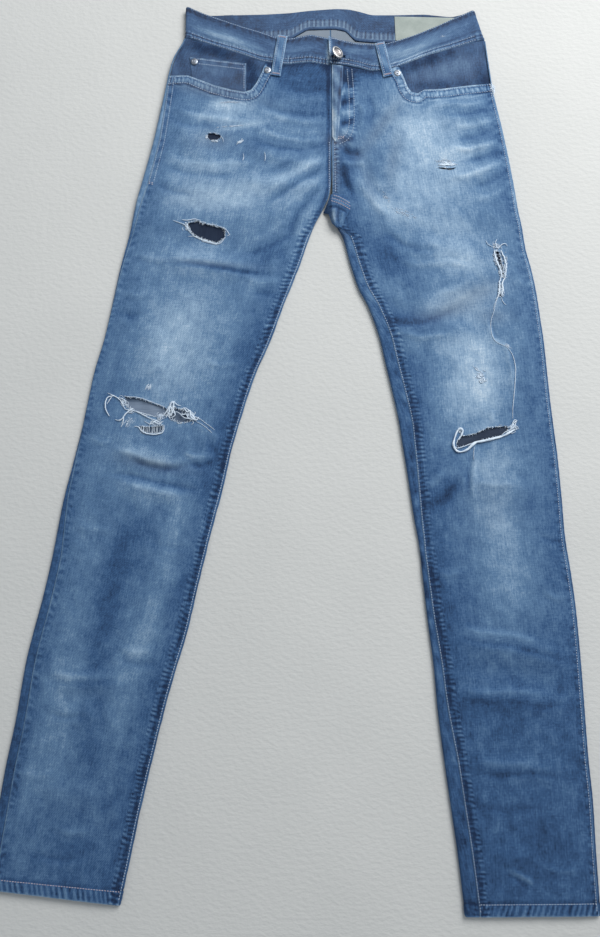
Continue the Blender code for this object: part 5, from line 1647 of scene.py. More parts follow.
def land(tree, x, y, down=True):
    """The first cloth that a needle meets at a place of the plan, in mm."""
    way = Vector((0, 0, -1 if down else 1))
    point, normal, _, _ = tree.ray_cast(Vector((x * MM, y * MM, 0)) - 0.05 * way, way)
    if point is None:
        return None
    return Landing(point / MM, -normal if normal.dot(way) > 0 else normal)


front_tree = surface_tree(front_right, front_left, waistband)
print("the front can be searched")

# %% Belt loops
LOOP_WIDTH = 12.5
LOOP_WALL = 1.5
FRONT_LOOPS = {
    "belt_loop_front_right": ((-12.5, 519), (-21.5, 462)),
    "belt_loop_front_left": ((113.5, 509), (124, 461)),
}
BACK_LOOPS = {
    "belt_loop_back_right": ((-84, 554), (-82, 505)),
    "belt_loop_back_centre": ((54, 561), (54, 518)),
    "belt_loop_back_left": ((190, 552), (190, 501)),
}
OVER_BAND = 8.1
LOOP_STEP = 0.9


def loop_grid(ends):
    (x1, y1), (x2, y2) = ends
    length = math.hypot(x2 - x1, y2 - y1)
    along = np.linspace(0, 1, round(length / LOOP_STEP) + 1)[:, None]
    across = np.sin(np.linspace(-math.pi / 2, math.pi / 2, 17))[None, :] * LOOP_WIDTH / 2
    side = np.array([(y2 - y1), -(x2 - x1)]) / length
    x = x1 + (x2 - x1) * along + side[0] * across
    y = y1 + (y2 - y1) * along + side[1] * across
    return length, along, across, x, y


def loop_relief(length, along, across):
    """The rib, the stitch lines beside it, and the bar tacks at both ends."""
    run = along * length
    from_edge = LOOP_WIDTH / 2 - np.abs(across)
    rib = -0.30 * bell(from_edge - 2.2, 0.8)
    puckers = 0.10 * np.sin(run / 1.1) * bell(from_edge - 1.4, 1.4)
    tacks = -0.35 * sum(bell(run - place, 1.0) for place in (2.6, length - 2.6))
    return rib + puckers + tacks - 0.7 * smooth(1.2, 0, from_edge)


def loop_wear(length):
    def wear_at(x, y, z, across, run):
        from_edge = LOOP_WIDTH / 2 - np.abs(across)
        fade_and_shade = 0.40 + 0.34 * bell(from_edge, 0.9) - 0.14 * bell(from_edge - 2.4, 0.7)
        fade_and_shade = fade_and_shade + 0.08 * np.sin(run / 4.0 + across / 3) + 0.2 * bell(run, 3.0)
        return fade_and_shade + 0.1 * bell(run - length * 0.42, 9), 0.2 * bell(from_edge, 0.5), 0

    return wear_at


def over_band(length, along, x, y):
    """How high a front loop runs over the band, and down to the cloth at its foot."""
    feet = [land(front_tree, x[-1, k], y[-1, k]) for k in range(x.shape[1])]
    foot = max(OVER_BAND, max(hit.point.z for hit in feet if hit) + 0.5)
    heights = [OVER_BAND + 0.4, OVER_BAND + 0.9, OVER_BAND + 1.1, foot + 0.8, foot + 0.1]
    under = evened(along * length, np.interp(along, [0, 0.2, 0.5, 0.78, 1], heights))
    for i in range(len(along)):
        hits = [land(front_tree, x[i, k], y[i, k]) for k in range(0, x.shape[1], 4)]
        under[i] = max([under[i]] + [hit.point.z + 0.3 for hit in hits if hit])
    return under


def make_loop(node, ends, front):
    length, along, across, x, y = loop_grid(ends)
    relief = loop_relief(length, along, across)
    if front:
        run = along * length
        z = over_band(length, along[:, 0], x, y)[:, None] + LOOP_WALL + relief
        z = z - 0.6 * smooth(1.6, 0, run) - 0.4 * smooth(1.6, 0, length - run)
    else:
        z = np.minimum(0.75 - 0.7 * (relief + 0.75).clip(0, 1), 0.95)
    places = np.stack(np.broadcast_arrays(across, along * length), axis=-1)
    wall, up = (LOOP_WALL * 0.8, 1) if front else (0.55, -1)
    loop = sheet_mesh(node + "_cloth", np.stack([x, y, z], axis=-1), places, wall, up, DENIM)
    paint(loop, loop_wear(length))
    finish_piece(loop, node)
    return loop


front_loops = [make_loop(node, ends, True) for node, ends in FRONT_LOOPS.items()]
back_loops = [make_loop(node, ends, False) for node, ends in BACK_LOOPS.items()]
print(len(front_loops) + len(back_loops), "belt loops")

# %% Back pockets
BACK_POCKETS = {
    "back_pocket_right": [(-130, 436), (4, 428), (0, 322), (-58, 296), (-120, 326)],
    "back_pocket_left": [(96, 428), (230, 432), (226, 322), (162, 294), (102, 322)],
}
POCKET_WALL = 0.8
POCKET_HEM = 13.0


def make_back_pocket(node, outline):
    xs, ys = np.transpose(outline)
    middle_x = (xs.min() + xs.max()) / 2

    def sewn(x, y):
        """How far the mouth and the sewn sides are, and the ribs beside both."""
        mouth = distance(outline[:2], x, y)
        sides = distance(outline[1:] + outline[:1], x, y)
        side_ribs = np.sin((x + y) / 1.7) * smooth(9, 6, sides)
        return mouth, sides, side_ribs, np.sin(x / 1.9) * smooth(POCKET_HEM + 2, POCKET_HEM - 1, mouth)

    x = np.arange(xs.min() - 2, xs.max() + 4, 2.0)[None, :]
    y = np.arange(ys.max() + 2, ys.min() - 4, -2.0)[:, None]
    x, y = np.broadcast_arrays(x, y)
    mouth, sides, side_ribs, hem_ribs = sewn(x, y)
    lift = 0.20 * side_ribs + 0.20 * hem_ribs
    lift = lift + 0.3 * smooth(1.4, 0, sides) - 0.25 * smooth(POCKET_HEM, POCKET_HEM - 1, mouth)
    z = 0.30 + lift.clip(-0.3, 0.3) + 0.06 * crumple(x, y, 12, 5.2)
    points = np.stack([x, y, np.maximum(z, 0.0)], axis=-1)
    pocket = sheet_mesh(node + "_cloth", points, points[..., :2].copy(), POCKET_WALL, -1, DENIM)
    trim(pocket, [outline], "INTERSECT")

    def wear_at(x, y, *_):
        mouth, sides, side_ribs, hem_ribs = sewn(x, y)
        fade_and_shade = 0.34 + spots([(middle_x, 376, 46, 42, 0, 0.3)], x, y)
        fade_and_shade = fade_and_shade + 0.28 * bell(np.minimum(mouth, sides), 1.3) - 0.10 * bell(sides - 9.5, 1.6)
        return fade_and_shade + 0.12 * side_ribs + 0.10 * hem_ribs, 0, 0

    paint(pocket, wear_at)
    finish_piece(pocket, node)
    return pocket


back_pockets = [make_back_pocket(node, outline) for node, outline in BACK_POCKETS.items()]
print(len(back_pockets), "back pockets")

# %% The blank label
LABEL = [(134, 549), (216, 547), (217, 516), (135, 515)]
LABEL_LEVEL = 4.9
LABEL_WALL = 0.6


def label_material():
    """A satin weave with fine cross ribs, a little soiled."""
    made, tree, shader = new_material("woven_label", 0.62, sheen=0.2)
    place = add(tree, "UVMap", uv_map="cloth").outputs["UV"]
    ribs = add(tree, "TexWave", {"Vector": place, "Scale": 420}, bands_direction="Y").outputs["Fac"]
    soil = grain(tree, place, (40, 60), 4)
    fine = grain(tree, place, (500, 900), 2)
    level = maths(tree, "MULTIPLY_ADD", soil, 0.8, maths(tree, "MULTIPLY", fine, 0.35))
    cloth = mixed(tree, level, (0.10, 0.14, 0.13, 1), (0.42, 0.47, 0.44, 1))
    tree.links.new(cloth, shader.inputs["Base Color"])
    add_bump(tree, shader, maths(tree, "ADD", ribs, fine), 0.4, 0.0003)
    return made


LABEL_CLOTH = label_material()
share = np.linspace(0, 1, 60)[:, None]
other = np.linspace(0, 1, 28)[None, :]
corners = np.array(LABEL, float)
place = (
    corners[0] * ((1 - share) * (1 - other))[..., None] + corners[1] * (share * (1 - other))[..., None]
    + corners[2] * (share * other)[..., None] + corners[3] * ((1 - share) * other)[..., None]
)
edge = np.minimum(np.minimum(share, 1 - share) * 82, np.minimum(other, 1 - other) * 32)
waver = 0.12 * crumple(place[..., 0], place[..., 1], 9, 2.4)
level = LABEL_LEVEL - 0.2 * smooth(1.5, 0, edge) + waver * smooth(0, 5, edge)
points = np.concatenate([place, level[..., None]], axis=-1)
label = sheet_mesh("blank_label", points, place, LABEL_WALL, 1, LABEL_CLOTH)
paint(label, even_wear)
finish_piece(label, "inner_label")
print("label is blank")

# %% [markdown]
# ## The rolled edge of the knee rip
# Below the left knee the torn edge has frayed into a white cord that loops
# back up at its end. It is a tube swept along a smooth curve, with a radius that swells
# and thins as twisted loose cotton does.

# %% Frayed cotton and tubes
ROLL_RADIUS = 1.35
ROLL_PATH = [
    (272, -1), (265, -5.5), (255, -10.5), (243, -13.5), (232, -16), (223, -18), (213.5, -26), (206, -29),
    (200, -27.5), (196.6, -20.5), (198.5, -11.5), (201.5, -4), (205, -0.5), (208.2, -3), (206.5, -8.5),
    (203.5, -14.5),
]


def cotton_material(name, dark, pale):
    """Loose undyed cotton yarn: soft, and streaked along its length."""
    made, tree, shader = new_material(name, 0.95, sheen=0.25)
    place = add(tree, "TexCoord").outputs["Object"]
    fine = add(tree, "TexNoise", {"Vector": place, "Scale": 1400, "Detail": 3}).outputs["Fac"]
    broad = add(tree, "TexNoise", {"Vector": place, "Scale": 160, "Detail": 2}).outputs["Fac"]
    level = maths(tree, "MULTIPLY_ADD", fine, 0.9, maths(tree, "MULTIPLY_ADD", broad, 1.0, -0.45))
    tree.links.new(mixed(tree, level, dark, pale), shader.inputs["Base Color"])
    add_bump(tree, shader, fine, 0.7, 0.0006)
    return made


WHITE_COTTON = cotton_material("white_cotton", (0.46, 0.58, 0.74, 1), (0.84, 0.93, 1.0, 1))


def smooth_line(knots, step):
    """Points along a smooth curve through the knots, about one step apart."""
    points = np.array(knots, float)
    padded = np.concatenate([2 * points[:1] - points[1:2], points, 2 * points[-1:] - points[-2:-1]])
    line = []
    for p0, p1, p2, p3 in zip(padded, padded[1:], padded[2:], padded[3:]):
        count = max(1, round(float(np.linalg.norm(p2 - p1)) / step))
        t = (np.arange(count) / count)[:, None]
        line.append(
            0.5 * (2 * p1 + (p2 - p0) * t + (2 * p0 - 5 * p1 + 4 * p2 - p3) * t ** 2
                   + (3 * p1 - p0 - 3 * p2 + p3) * t ** 3)
        )
    return np.concatenate(line + [points[-1:]])


def tube(line, radius, sides):
    """Verts and faces of a closed tube; radius holds one value a point."""
    step = np.gradient(line, axis=0)
    step /= np.linalg.norm(step, axis=1, keepdims=True) + 1e-9
    across = np.cross(step, [0.0, 0.0, 1.0])
    across /= np.linalg.norm(across, axis=1, keepdims=True)
    up = np.cross(across, step)
    turn = 2 * math.pi * np.arange(sides) / sides
    ring = across[:, None] * np.cos(turn)[:, None] + up[:, None] * np.sin(turn)[:, None]
    verts = (line[:, None] + ring * radius[:, None, None]).reshape(-1, 3)
    count = len(line)
    faces = [list(range(sides))]
    for start in range(0, (count - 1) * sides, sides):
        for k in range(sides):
            after = (k + 1) % sides
            faces.append([start + k, start + sides + k, start + sides + after, start + after])
    faces.append([(count - 1) * sides + k for k in reversed(range(sides))])
    return verts, faces


def lie(flat_line, tree):
    """Heights of the cloth along a line, carried straight across a gap."""
    heights = np.full(len(flat_line), np.nan)
    for k, (x, y) in enumerate(flat_line):
        hit = land(tree, x, y)
        if hit and hit.point.z > 4:
            heights[k] = hit.point.z
    known = np.flatnonzero(~np.isnan(heights))
    if len(known) == 0:
        return np.full(len(flat_line), 6.5)
    return np.interp(np.arange(len(flat_line)), known, heights[known])


flat_line = smooth_line(ROLL_PATH, 1.0)
heights = lie(flat_line, front_tree)
run = np.arange(len(flat_line))
radius = ROLL_RADIUS * (0.82 + 0.16 * np.sin(run / 4.1) + 0.10 * np.sin(run / 1.7 + 1))
radius = radius * (1 + 0.45 * bell(run - 48, 12))
radius = radius * (0.35 + 0.65 * smooth(0, 7, run) * smooth(len(run) - 1, len(run) - 9, run))
lift = np.convolve(np.pad(heights, 6, mode="edge"), np.ones(13) / 13, mode="valid")
line = np.column_stack([flat_line, lift + radius + 0.35])
verts, faces = tube(line, radius, 14)
fuzz = np.random.default_rng(21)
verts = verts + fuzz.normal(0, 0.10, verts.shape)
rolled = link_mesh("rolled_knee_edge", verts, faces, WHITE_COTTON, 60)
finish_piece(rolled, "left_knee_rolled_edge")
print(rolled.name, len(rolled.data.polygons), "faces")

# %% [markdown]
# ## Button and rivets
# The shank button is a stamped shell: a raised rim round a dished middle, on a
# short stem. A rivet is a small domed cap with a burr in its middle. Each starts as
# a flat disc that is extruded and scaled ring by ring, as on a lathe.

# %% Metal of the button and the rivets


def metal_material(name, worn, dull, ring_scale):
    """Stamped metal, polished where hands rub it and dull in the hollows."""
    made, tree, shader = new_material(name, 0.34, metallic=1.0)
    place = add(tree, "TexCoord").outputs["Object"]
    fine = add(tree, "TexNoise", {"Vector": place, "Scale": 900, "Detail": 4}).outputs["Fac"]
    patches = add(tree, "TexNoise", {"Vector": place, "Scale": 260, "Detail": 3}).outputs["Fac"]
    marks = add(tree, "TexNoise", {"Vector": place, "Scale": ring_scale, "Detail": 2}).outputs["Fac"]
    level = maths(tree, "MULTIPLY_ADD", patches, 1.4, maths(tree, "MULTIPLY_ADD", fine, 0.5, -0.45))
    tree.links.new(mixed(tree, level, dull, worn), shader.inputs["Base Color"])
    rough = maths(tree, "MULTIPLY_ADD", fine, 0.25, 0.30)
    tree.links.new(rough, shader.inputs["Roughness"])
    add_bump(tree, shader, maths(tree, "ADD", fine, marks), 0.25, 0.0002)
    return made


BUTTON_METAL = metal_material("worn_button", (0.74, 0.75, 0.76, 1), (0.30, 0.29, 0.29, 1), 1500)
BUTTON_HOLLOW = metal_material("dark_hollow", (0.30, 0.30, 0.32, 1), (0.12, 0.12, 0.13, 1), 1500)
BUTTON_MIDDLE = metal_material("warm_middle", (0.58, 0.54, 0.53, 1), (0.32, 0.29, 0.29, 1), 1500)
RIVET_METAL = metal_material("silver_rivet", (0.50, 0.54, 0.60, 1), (0.14, 0.16, 0.20, 1), 1700)
print("metals are ready")

# %% Turned discs


def turned_piece(name, radius, steps, sides, finish):
    """A disc that is extruded upwards; steps are (rise, new radius) in mm."""
    bpy.ops.object.select_all(action="DESELECT")
    bpy.ops.mesh.primitive_circle_add(
        vertices=sides, radius=radius * MM, fill_type="NGON", location=(0, 0, 0)
    )
    piece = bpy.context.object
    piece.name = name
    bpy.ops.object.mode_set(mode="EDIT")
    bpy.ops.mesh.select_all(action="SELECT")
    bpy.ops.mesh.flip_normals()
    bpy.ops.mesh.select_mode(type="FACE")
    current = radius
    for rise, wider in steps:
        bpy.ops.mesh.extrude_region_move(TRANSFORM_OT_translate={"value": (0, 0, rise * MM)})
        share = wider / current
        bpy.ops.transform.resize(value=(share, share, 1))
        current = wider
    bpy.ops.mesh.select_all(action="SELECT")
    bpy.ops.mesh.normals_make_consistent(inside=False)
    bpy.ops.object.mode_set(mode="OBJECT")
    bpy.ops.object.shade_smooth_by_angle(angle=math.radians(34))
    piece.data.materials.clear()
    piece.data.materials.append(finish)
    return piece


def set_down(piece, place, tilt):
    """Turn a finished piece about its own foot, then set it at its place."""
    bpy.ops.object.select_all(action="DESELECT")
    piece.select_set(True)
    bpy.context.view_layer.objects.active = piece
    piece.rotation_euler = tilt
    piece.location = [value * MM for value in place]
    bpy.ops.object.transform_apply(location=True, rotation=True, scale=True)


BUTTON_FOOT = 7.8
BUTTON_TILT = Matrix.Rotation(math.radians(35), 3, Vector((-0.26, 0.97, 0))).to_euler()
button = turned_piece(
    "shank_button", 1.2,
    [(8.6, 1.2), (0.0, 7.4), (0.12, 8.0), (0.35, 8.45), (0.4, 8.5), (0.4, 8.3), (0.4, 7.9),
     (0.25, 7.3), (0.05, 6.7), (-0.35, 6.2), (-0.6, 5.8), (-0.25, 5.4), (0, 4.7), (0.35, 4.3),
     (0.2, 3.9), (-0.15, 3.4), (-0.4, 3), (-0.1, 2.3), (0.02, 1.2)],
    48, BUTTON_METAL,
)
for inner, outer, finish in ((4.5, 6.4, BUTTON_HOLLOW), (0.0, 4.5, BUTTON_MIDDLE)):
    button.data.materials.append(finish)
    for polygon in button.data.polygons:
        away = math.hypot(polygon.center.x, polygon.center.y) / MM
        if inner <= away < outer and (polygon.center.z > 9 * MM or finish is BUTTON_MIDDLE):
            polygon.material_index = len(button.data.materials) - 1
set_down(button, (BUTTON_X, BUTTON_Y, BUTTON_FOOT), BUTTON_TILT)
finish_piece(button, "waist_button")
RIVETS = {
    "rivet_coin_pocket": (-127, 483), "rivet_right_pocket": (-32, 470),
    "rivet_left_pocket": (136, 466),
}
for node, (x, y) in RIVETS.items():
    low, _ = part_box(node)
    rivet = turned_piece(
        node + "_cap", 4.1,
        [(0.12, 4.4), (0.3, 4.5), (0.3, 4.35), (0.3, 3.9), (0.2, 3.2), (0.1, 2.5), (-0.25, 2.1),
         (-0.3, 1.8), (0, 1.3), (0.45, 1.1), (0.2, 0.8), (0.05, 0.4)],
        28, RIVET_METAL,
    )
    set_down(rivet, (x, y, low[2] / MM), (0, 0, 0))
    finish_piece(rivet, node)
print("button and", len(RIVETS), "rivets")

# %% [markdown]
# ## Torn threads
# When denim tears, the blue warp breaks away and the undyed weft stays. So a rip
# has a fringe of short white ends, longer yarns that hang across it, and tangles
# where they have matted in the wash. Each yarn is a thin tube on a line of the
# plan. The needle reads the height of the cloth under it, and over a gap the yarn
# goes straight across. The yarns of one place make one piece.

# %% Yarns


def turned_axes(turn):
    """The two directions of an oval that is turned by some degrees."""
    turn = math.radians(turn)
    return np.array([[math.cos(turn), math.sin(turn)], [-math.sin(turn), math.cos(turn)]])


class Yarns:
    """Loose yarns of one place, which end up as one piece."""

    def __init__(self, tree, seed):
        self.tree = tree
        self.dice = np.random.default_rng(seed)
        self.verts, self.faces = [], []

    def lay(self, knots, radius, arch=0.0, wander=0.0, step=1.0, sides=5, lift=0.15):
        """One yarn through the knots; arch is how far its middle stands up."""
        flat = smooth_line(knots, step)
        share = np.linspace(0, 1, len(flat))
        if wander:
            push = self.dice.normal(0, wander, flat.shape)
            flat = flat + push * np.minimum(1, 4 * share * (1 - share) + 0.15)[:, None]
        height = lie(flat, self.tree) + lift + radius + arch * np.sin(math.pi * share)
        thin = radius * (0.35 + 0.65 * np.sqrt(np.sin(math.pi * np.clip(share, 0.02, 0.98))))
        verts, faces = tube(np.column_stack([flat, height]), thin, sides)
        start = len(self.verts)
        self.verts.extend(verts.tolist())
        self.faces.extend([[start + k for k in face] for face in faces])

    def fringe(self, outline, reach, pitch, radius, first=0.0, last=1.0):
        """Short ends that point into a hole, along a part of its outline."""
        ring = np.array(outline + outline[:1], float)
        run = run_along(ring)
        size = np.linalg.norm(np.diff(ring, axis=0), axis=1)
        centre = ring[:-1].mean(axis=0)
        for at in np.arange(first * run[-1], last * run[-1], pitch):
            at = at + self.dice.uniform(-0.4, 0.4) * pitch
            x, y = (np.interp(at, run, ring[:, k]) for k in (0, 1))
            k = min(max(np.searchsorted(run, at) - 1, 0), len(size) - 1)
            way = (ring[k + 1] - ring[k]) / size[k]
            inward = np.array([-way[1], way[0]])
            if inward @ (centre - ring[k:k + 2].mean(axis=0)) < 0:
                inward = -inward
            turn = self.dice.normal(0, 0.7)
            goal = inward * math.cos(turn) + way * math.sin(turn)
            long = reach * self.dice.uniform(0.3, 1.15)
            bend = way * self.dice.normal(0, 0.28) * long
            start = np.array([x, y]) - inward * self.dice.uniform(0.4, 1.6)
            self.lay([start, start + goal * long * 0.55 + bend, start + goal * long + bend * 0.4],
                     radius * self.dice.uniform(0.7, 1.2), self.dice.uniform(-0.1, 0.5), sides=4)

    def tangle(self, x, y, long, wide, turn, count, radius, rise=1.2, bow=3.2):
        """Matted loops in a soft oval; bow is the size of the largest loop."""
        for _ in range(count):
            middle = self.dice.normal(0, 0.42, 2) * (long, wide)
            angle = self.dice.uniform(0, 2 * math.pi)
            reach = bow * self.dice.uniform(0.3, 1.0)
            sweep = np.linspace(0, self.dice.uniform(2.0, 5.0), 5)
            loop = np.column_stack([np.cos(angle + sweep), np.sin(angle + sweep)])
            loop = loop * reach * np.linspace(1, self.dice.uniform(0.5, 1.4), 5)[:, None]
            knots = (middle + loop) @ turned_axes(turn) + (x, y)
            self.lay(knots, radius * self.dice.uniform(0.7, 1.2), self.dice.uniform(0.1, rise), sides=4)

    def weft(self, x, y, long, wide, turn, count, radius, length):
        """Bare weft threads that lie side by side on a worn place."""
        for _ in range(count):
            middle = self.dice.normal(0, 0.45, 2) * (long, wide)
            half = length * self.dice.uniform(0.5, 1.1) / 2
            bend = self.dice.normal(0, 0.12) * half
            knots = np.array([[-half, 0], [0, bend], [half, 0]]) + middle
            self.lay(knots @ turned_axes(turn) + (x, y), radius * self.dice.uniform(0.7, 1.1),
                     self.dice.uniform(0, 0.4), sides=4, lift=-0.05)

    def finish(self, name):
        finish_piece(link_mesh(name, self.verts, self.faces, WHITE_COTTON, 180), None)
        print(name, len(self.faces), "faces")


print("yarns are ready")

# %% Threads of the right knee
# The radius, how far the middle stands up, and the knots of each yarn
RIGHT_KNEE_YARNS = [
    (0.75, 1.2, [(-218, 40.5), (-223, 39.5), (-226, 38), (-228, 32), (-227.5, 24), (-223, 15)]),
    (0.6, 0.6, [(-221, 39), (-224, 34), (-226.5, 30)]),
    (0.55, 0.5, [(-226, 44), (-218, 40.5), (-212, 36.5), (-207, 30), (-204, 24), (-196.5, 23)]),
    (0.5, 0.6, [(-222, 42), (-213, 38), (-206, 36), (-203, 30)]),
    (0.8, 0.7, [(-194, 25), (-198, 22), (-203, 18), (-207, 12), (-211, 9)]),
    (0.65, 0.5, [(-198, 22), (-205, 15), (-206, 7), (-208.5, 1.5)]),
    (0.45, 0.4, [(-205, 13), (-212, 10), (-216, 11)]),
    (0.4, 0.3, [(-205, 40), (-187.5, 38.3), (-172, 33), (-155, 26.5)]),
    (0.6, 0.4, [(-197, 23.5), (-187, 19.5), (-179, 15), (-170, 11), (-164, 10)]),
    (0.4, 0.4, [(-190, 21.5), (-178, 17.5), (-168, 15)]),
    (0.9, 1.6, [(-154, 13), (-150, 20), (-148.5, 29), (-144.5, 32), (-145, 24), (-142.5, 16.5),
                (-147.5, 13)]),
    (0.8, 1.3, [(-158, 15), (-152, 22), (-149, 27), (-146, 20), (-151, 14)]),
    (0.6, 0.9, [(-150, 31), (-145, 33.5), (-140, 29), (-136, 28)]),
    (0.9, 1.4, [(-135.5, 22.5), (-132, 25), (-128, 20), (-124.5, 21.5), (-123, 14), (-117, 10),
                (-113.5, 14)]),
    (0.8, 1.2, [(-131, 26), (-126, 22), (-122, 16), (-119, 12), (-125, 10)]),
    (0.6, 0.8, [(-137, 18), (-131, 13), (-124, 12), (-117, 14), (-112, 11)]),
    (0.45, 0.5, [(-150, 18), (-141, 20), (-134, 17), (-128, 18)]),
    (0.5, 0.5, [(-174, 3), (-170.5, 9), (-163, 5.5), (-157, 9)]),
    (0.45, 0.5, [(-180, 9), (-172, 5), (-165, 9), (-158, 4)]),
    (0.7, 0.4, [(-192, 2.5), (-187, 1.5), (-182.5, -4), (-174, -7), (-163, -7), (-156.5, -3.5), (-156, 4)]),
    (0.35, 0.3, [(-180, 47.5), (-178.5, 52.5), (-175.5, 55.5)]),
    (0.3, 0.2, [(-114, 13), (-105, 6.5), (-94, -2)]),
    (0.3, 0.2, [(-118, 9), (-107, 3), (-97, -6)]),
]
knee = Yarns(front_tree, 31)
for radius, arch, knots in RIGHT_KNEE_YARNS:
    knee.lay(knots, radius, arch, wander=0.16)
knee.fringe(RIGHT_KNEE_SLIT, 2.6, 1.5, 0.26)
knee.fringe(RIGHT_KNEE_GAP, 3.4, 1.1, 0.3)
knee.fringe(RIGHT_KNEE_HOLE, 2.6, 1.4, 0.26)
knee.tangle(-161, 14.5, 5.5, 3.4, 30, 24, 0.34)
knee.tangle(-148, 22, 4, 7, -10, 30, 0.36)
knee.tangle(-124, 16, 8.5, 3.8, -38, 40, 0.36)
knee.tangle(-205, 31, 3.4, 7.5, 32, 26, 0.24, 0.5)
knee.tangle(-198, 22, 3.6, 2.2, 20, 12, 0.3, 0.6)
knee.tangle(-166, 7, 8, 2, 0, 22, 0.26, 0.5, 2.4)
for k in range(13):
    x = -184 + 2.1 * k + 0.5 * math.sin(2.3 * k)
    knee.lay([(x, 3.5), (x + 0.5 * math.cos(k), -1), (x - 0.3, -6.5)], 0.28, -0.3, sides=4)
knee.weft(-176, 52, 3, 5, 62, 14, 0.26, 4.5)
knee.weft(-200, 8, 9, 6, 50, 40, 0.18, 4)
knee.finish("torn_threads_right_knee")

# %% Threads of the hip and the thigh
thigh = Yarns(front_tree, 32)
thigh.fringe(THIGH_HOLE, 2.8, 1, 0.28)
thigh.fringe(THIGH_HOLE, 4.5, 2.2, 0.24, 0.1, 0.45)
thigh.fringe(THIGH_HOLE, 2.6, 0.9, 0.3, 0.62, 1)
for radius, arch, knots in (
    (0.45, 0.4, [(-150, 266), (-142, 263), (-135, 260), (-131, 254), (-126, 248)]),
    (0.5, 0.3, [(-139, 267), (-132, 266), (-124, 267.5), (-115, 266)]),
    (0.5, 0.2, [(-124, 246), (-115, 242), (-106, 239), (-97, 236.5), (-90, 237.5), (-84, 245)]),
    (0.35, 0.2, [(-113, 240), (-104, 237.5), (-94, 235)]),
    (0.4, 0.3, [(-84, 256), (-81, 251), (-79, 248), (-82, 246)]),
    (0.35, 0.2, [(-131, 246), (-122, 245.5), (-116, 241.5)]),
):
    thigh.lay(knots, radius, arch, wander=0.14)
thigh.tangle(-134, 258, 3, 5, 35, 16, 0.26, 0.5, 2.4)
thigh.tangle(-108, 239.5, 6, 1.2, -10, 18, 0.26, 0.4, 1.6)
thigh.tangle(-98, 260.5, 7, 1, -16, 12, 0.22, 0.3, 1.4)
thigh.fringe(HIP_HOLE, 1, 0.9, 0.24)
thigh.tangle(-109.5, 378, 1, 4, 0, 14, 0.24, 0.3, 1.3)
thigh.tangle(-99, 372.5, 6, 0.8, 0, 16, 0.24, 0.3, 1.4)
thigh.lay([(-91, 379), (-88.5, 375), (-88, 371)], 0.3, 0.2)
thigh.weft(-66, 372, 5, 1.8, 38, 30, 0.3, 3.6)
thigh.weft(-76, 393, 18, 0.9, 4, 40, 0.22, 4)
thigh.weft(-80, 426, 14, 1.6, 2, 44, 0.2, 3.6)
thigh.lay([(-62.5, 356), (-61.6, 351), (-63, 346)], 0.3, 0.2)
thigh.lay([(-61.4, 350), (-62.4, 346.5)], 0.25, 0.1)
thigh.lay([(-35, 357), (-34.2, 351), (-34.6, 345)], 0.32, 0.2)
thigh.lay([(-33.8, 349), (-35, 345.5)], 0.25, 0.1)
thigh.finish("torn_threads_right_thigh")

# %% Threads of the left knee
LEFT_KNEE_YARNS = [
    (0.55, 0.4, [(223, -17.5), (216.5, -19.5), (209, -22.5), (201.5, -24.5), (198, -22)]),
    (0.45, 0.5, [(208, -3), (205.5, -9), (202, -15), (200, -20)]),
    (0.55, 0.8, [(266, -2), (271, 6.5), (274, 9), (271.5, 1.5), (275, -0.5), (269.5, -3.5)]),
    (0.5, 0.7, [(263, 1), (268, 4), (272, 10.5), (276, 9)]),
    (0.45, 0.6, [(262, -5), (268, -1), (274, 3), (277, -1)]),
    (0.5, 0.5, [(256, -8), (263, -3), (268, -6), (273, -4)]),
    (0.35, 0.3, [(222, -23), (221, -32), (221, -39)]),
    (0.5, 0.2, [(233, -14.5), (245, -12), (256, -8.5)]),
]
shin = Yarns(front_tree, 33)
for radius, arch, knots in LEFT_KNEE_YARNS:
    shin.lay(knots, radius, arch, wander=0.14)
shin.fringe(LEFT_KNEE_RIP, 3, 1.1, 0.24, 0, 0.5)
shin.fringe(LEFT_KNEE_RIP, 2.2, 1.8, 0.24, 0.5, 1)
shin.tangle(268.5, 1.5, 4.6, 3.2, 40, 28, 0.28, 0.8, 2.4)
shin.tangle(205.5, -3, 2, 3, 20, 20, 0.28, 0.8, 1.8)
shin.tangle(241, -13, 9, 0.9, 14, 20, 0.28, 0.4, 1.3)
shin.weft(232, 66, 4, 6.5, -28, 40, 0.32, 4.4)
shin.tangle(234, 60, 4, 3, 0, 14, 0.3, 0.5)
shin.weft(228, 74, 4.5, 2, -38, 16, 0.26, 4)
shin.finish("torn_threads_left_knee")

# %% Threads of the left side and hip, and of its frayed side seam
side = Yarns(front_tree, 34)
side.fringe(SIDE_RIP, 3.2, 0.8, 0.32)
side.fringe(SIDE_SLIT, 2.4, 0.8, 0.3)
side.tangle(255.5, 216, 2, 12, 8, 46, 0.3, 0.7, 2)
side.tangle(267.5, 206, 1.6, 16, -3, 50, 0.3, 0.7, 2)
side.tangle(266, 104, 6, 1.6, -24, 16, 0.22, 0.4, 1.6)
for knots in (
    [(254, 227), (254.6, 220), (256.4, 212), (259.4, 206), (261.2, 200), (262, 193)],
    [(262.4, 227), (266, 218), (268, 209), (267.8, 200), (266.2, 191)],
    [(262, 193), (259.6, 186), (259, 178), (257.6, 168), (254.6, 163)],
    [(266.2, 191), (263.2, 184), (263, 176), (261.6, 167)],
):
    side.lay(knots, 1, 0.1, wander=0.3)
side.tangle(261, 199, 2, 5, 0, 20, 0.3, 0.7, 1.8)
side.tangle(261.5, 176, 2.8, 9, 4, 54, 0.3, 0.7, 1.8)
side.tangle(258, 233, 6, 3.6, 0, 30, 0.26, 0.6, 2.2)
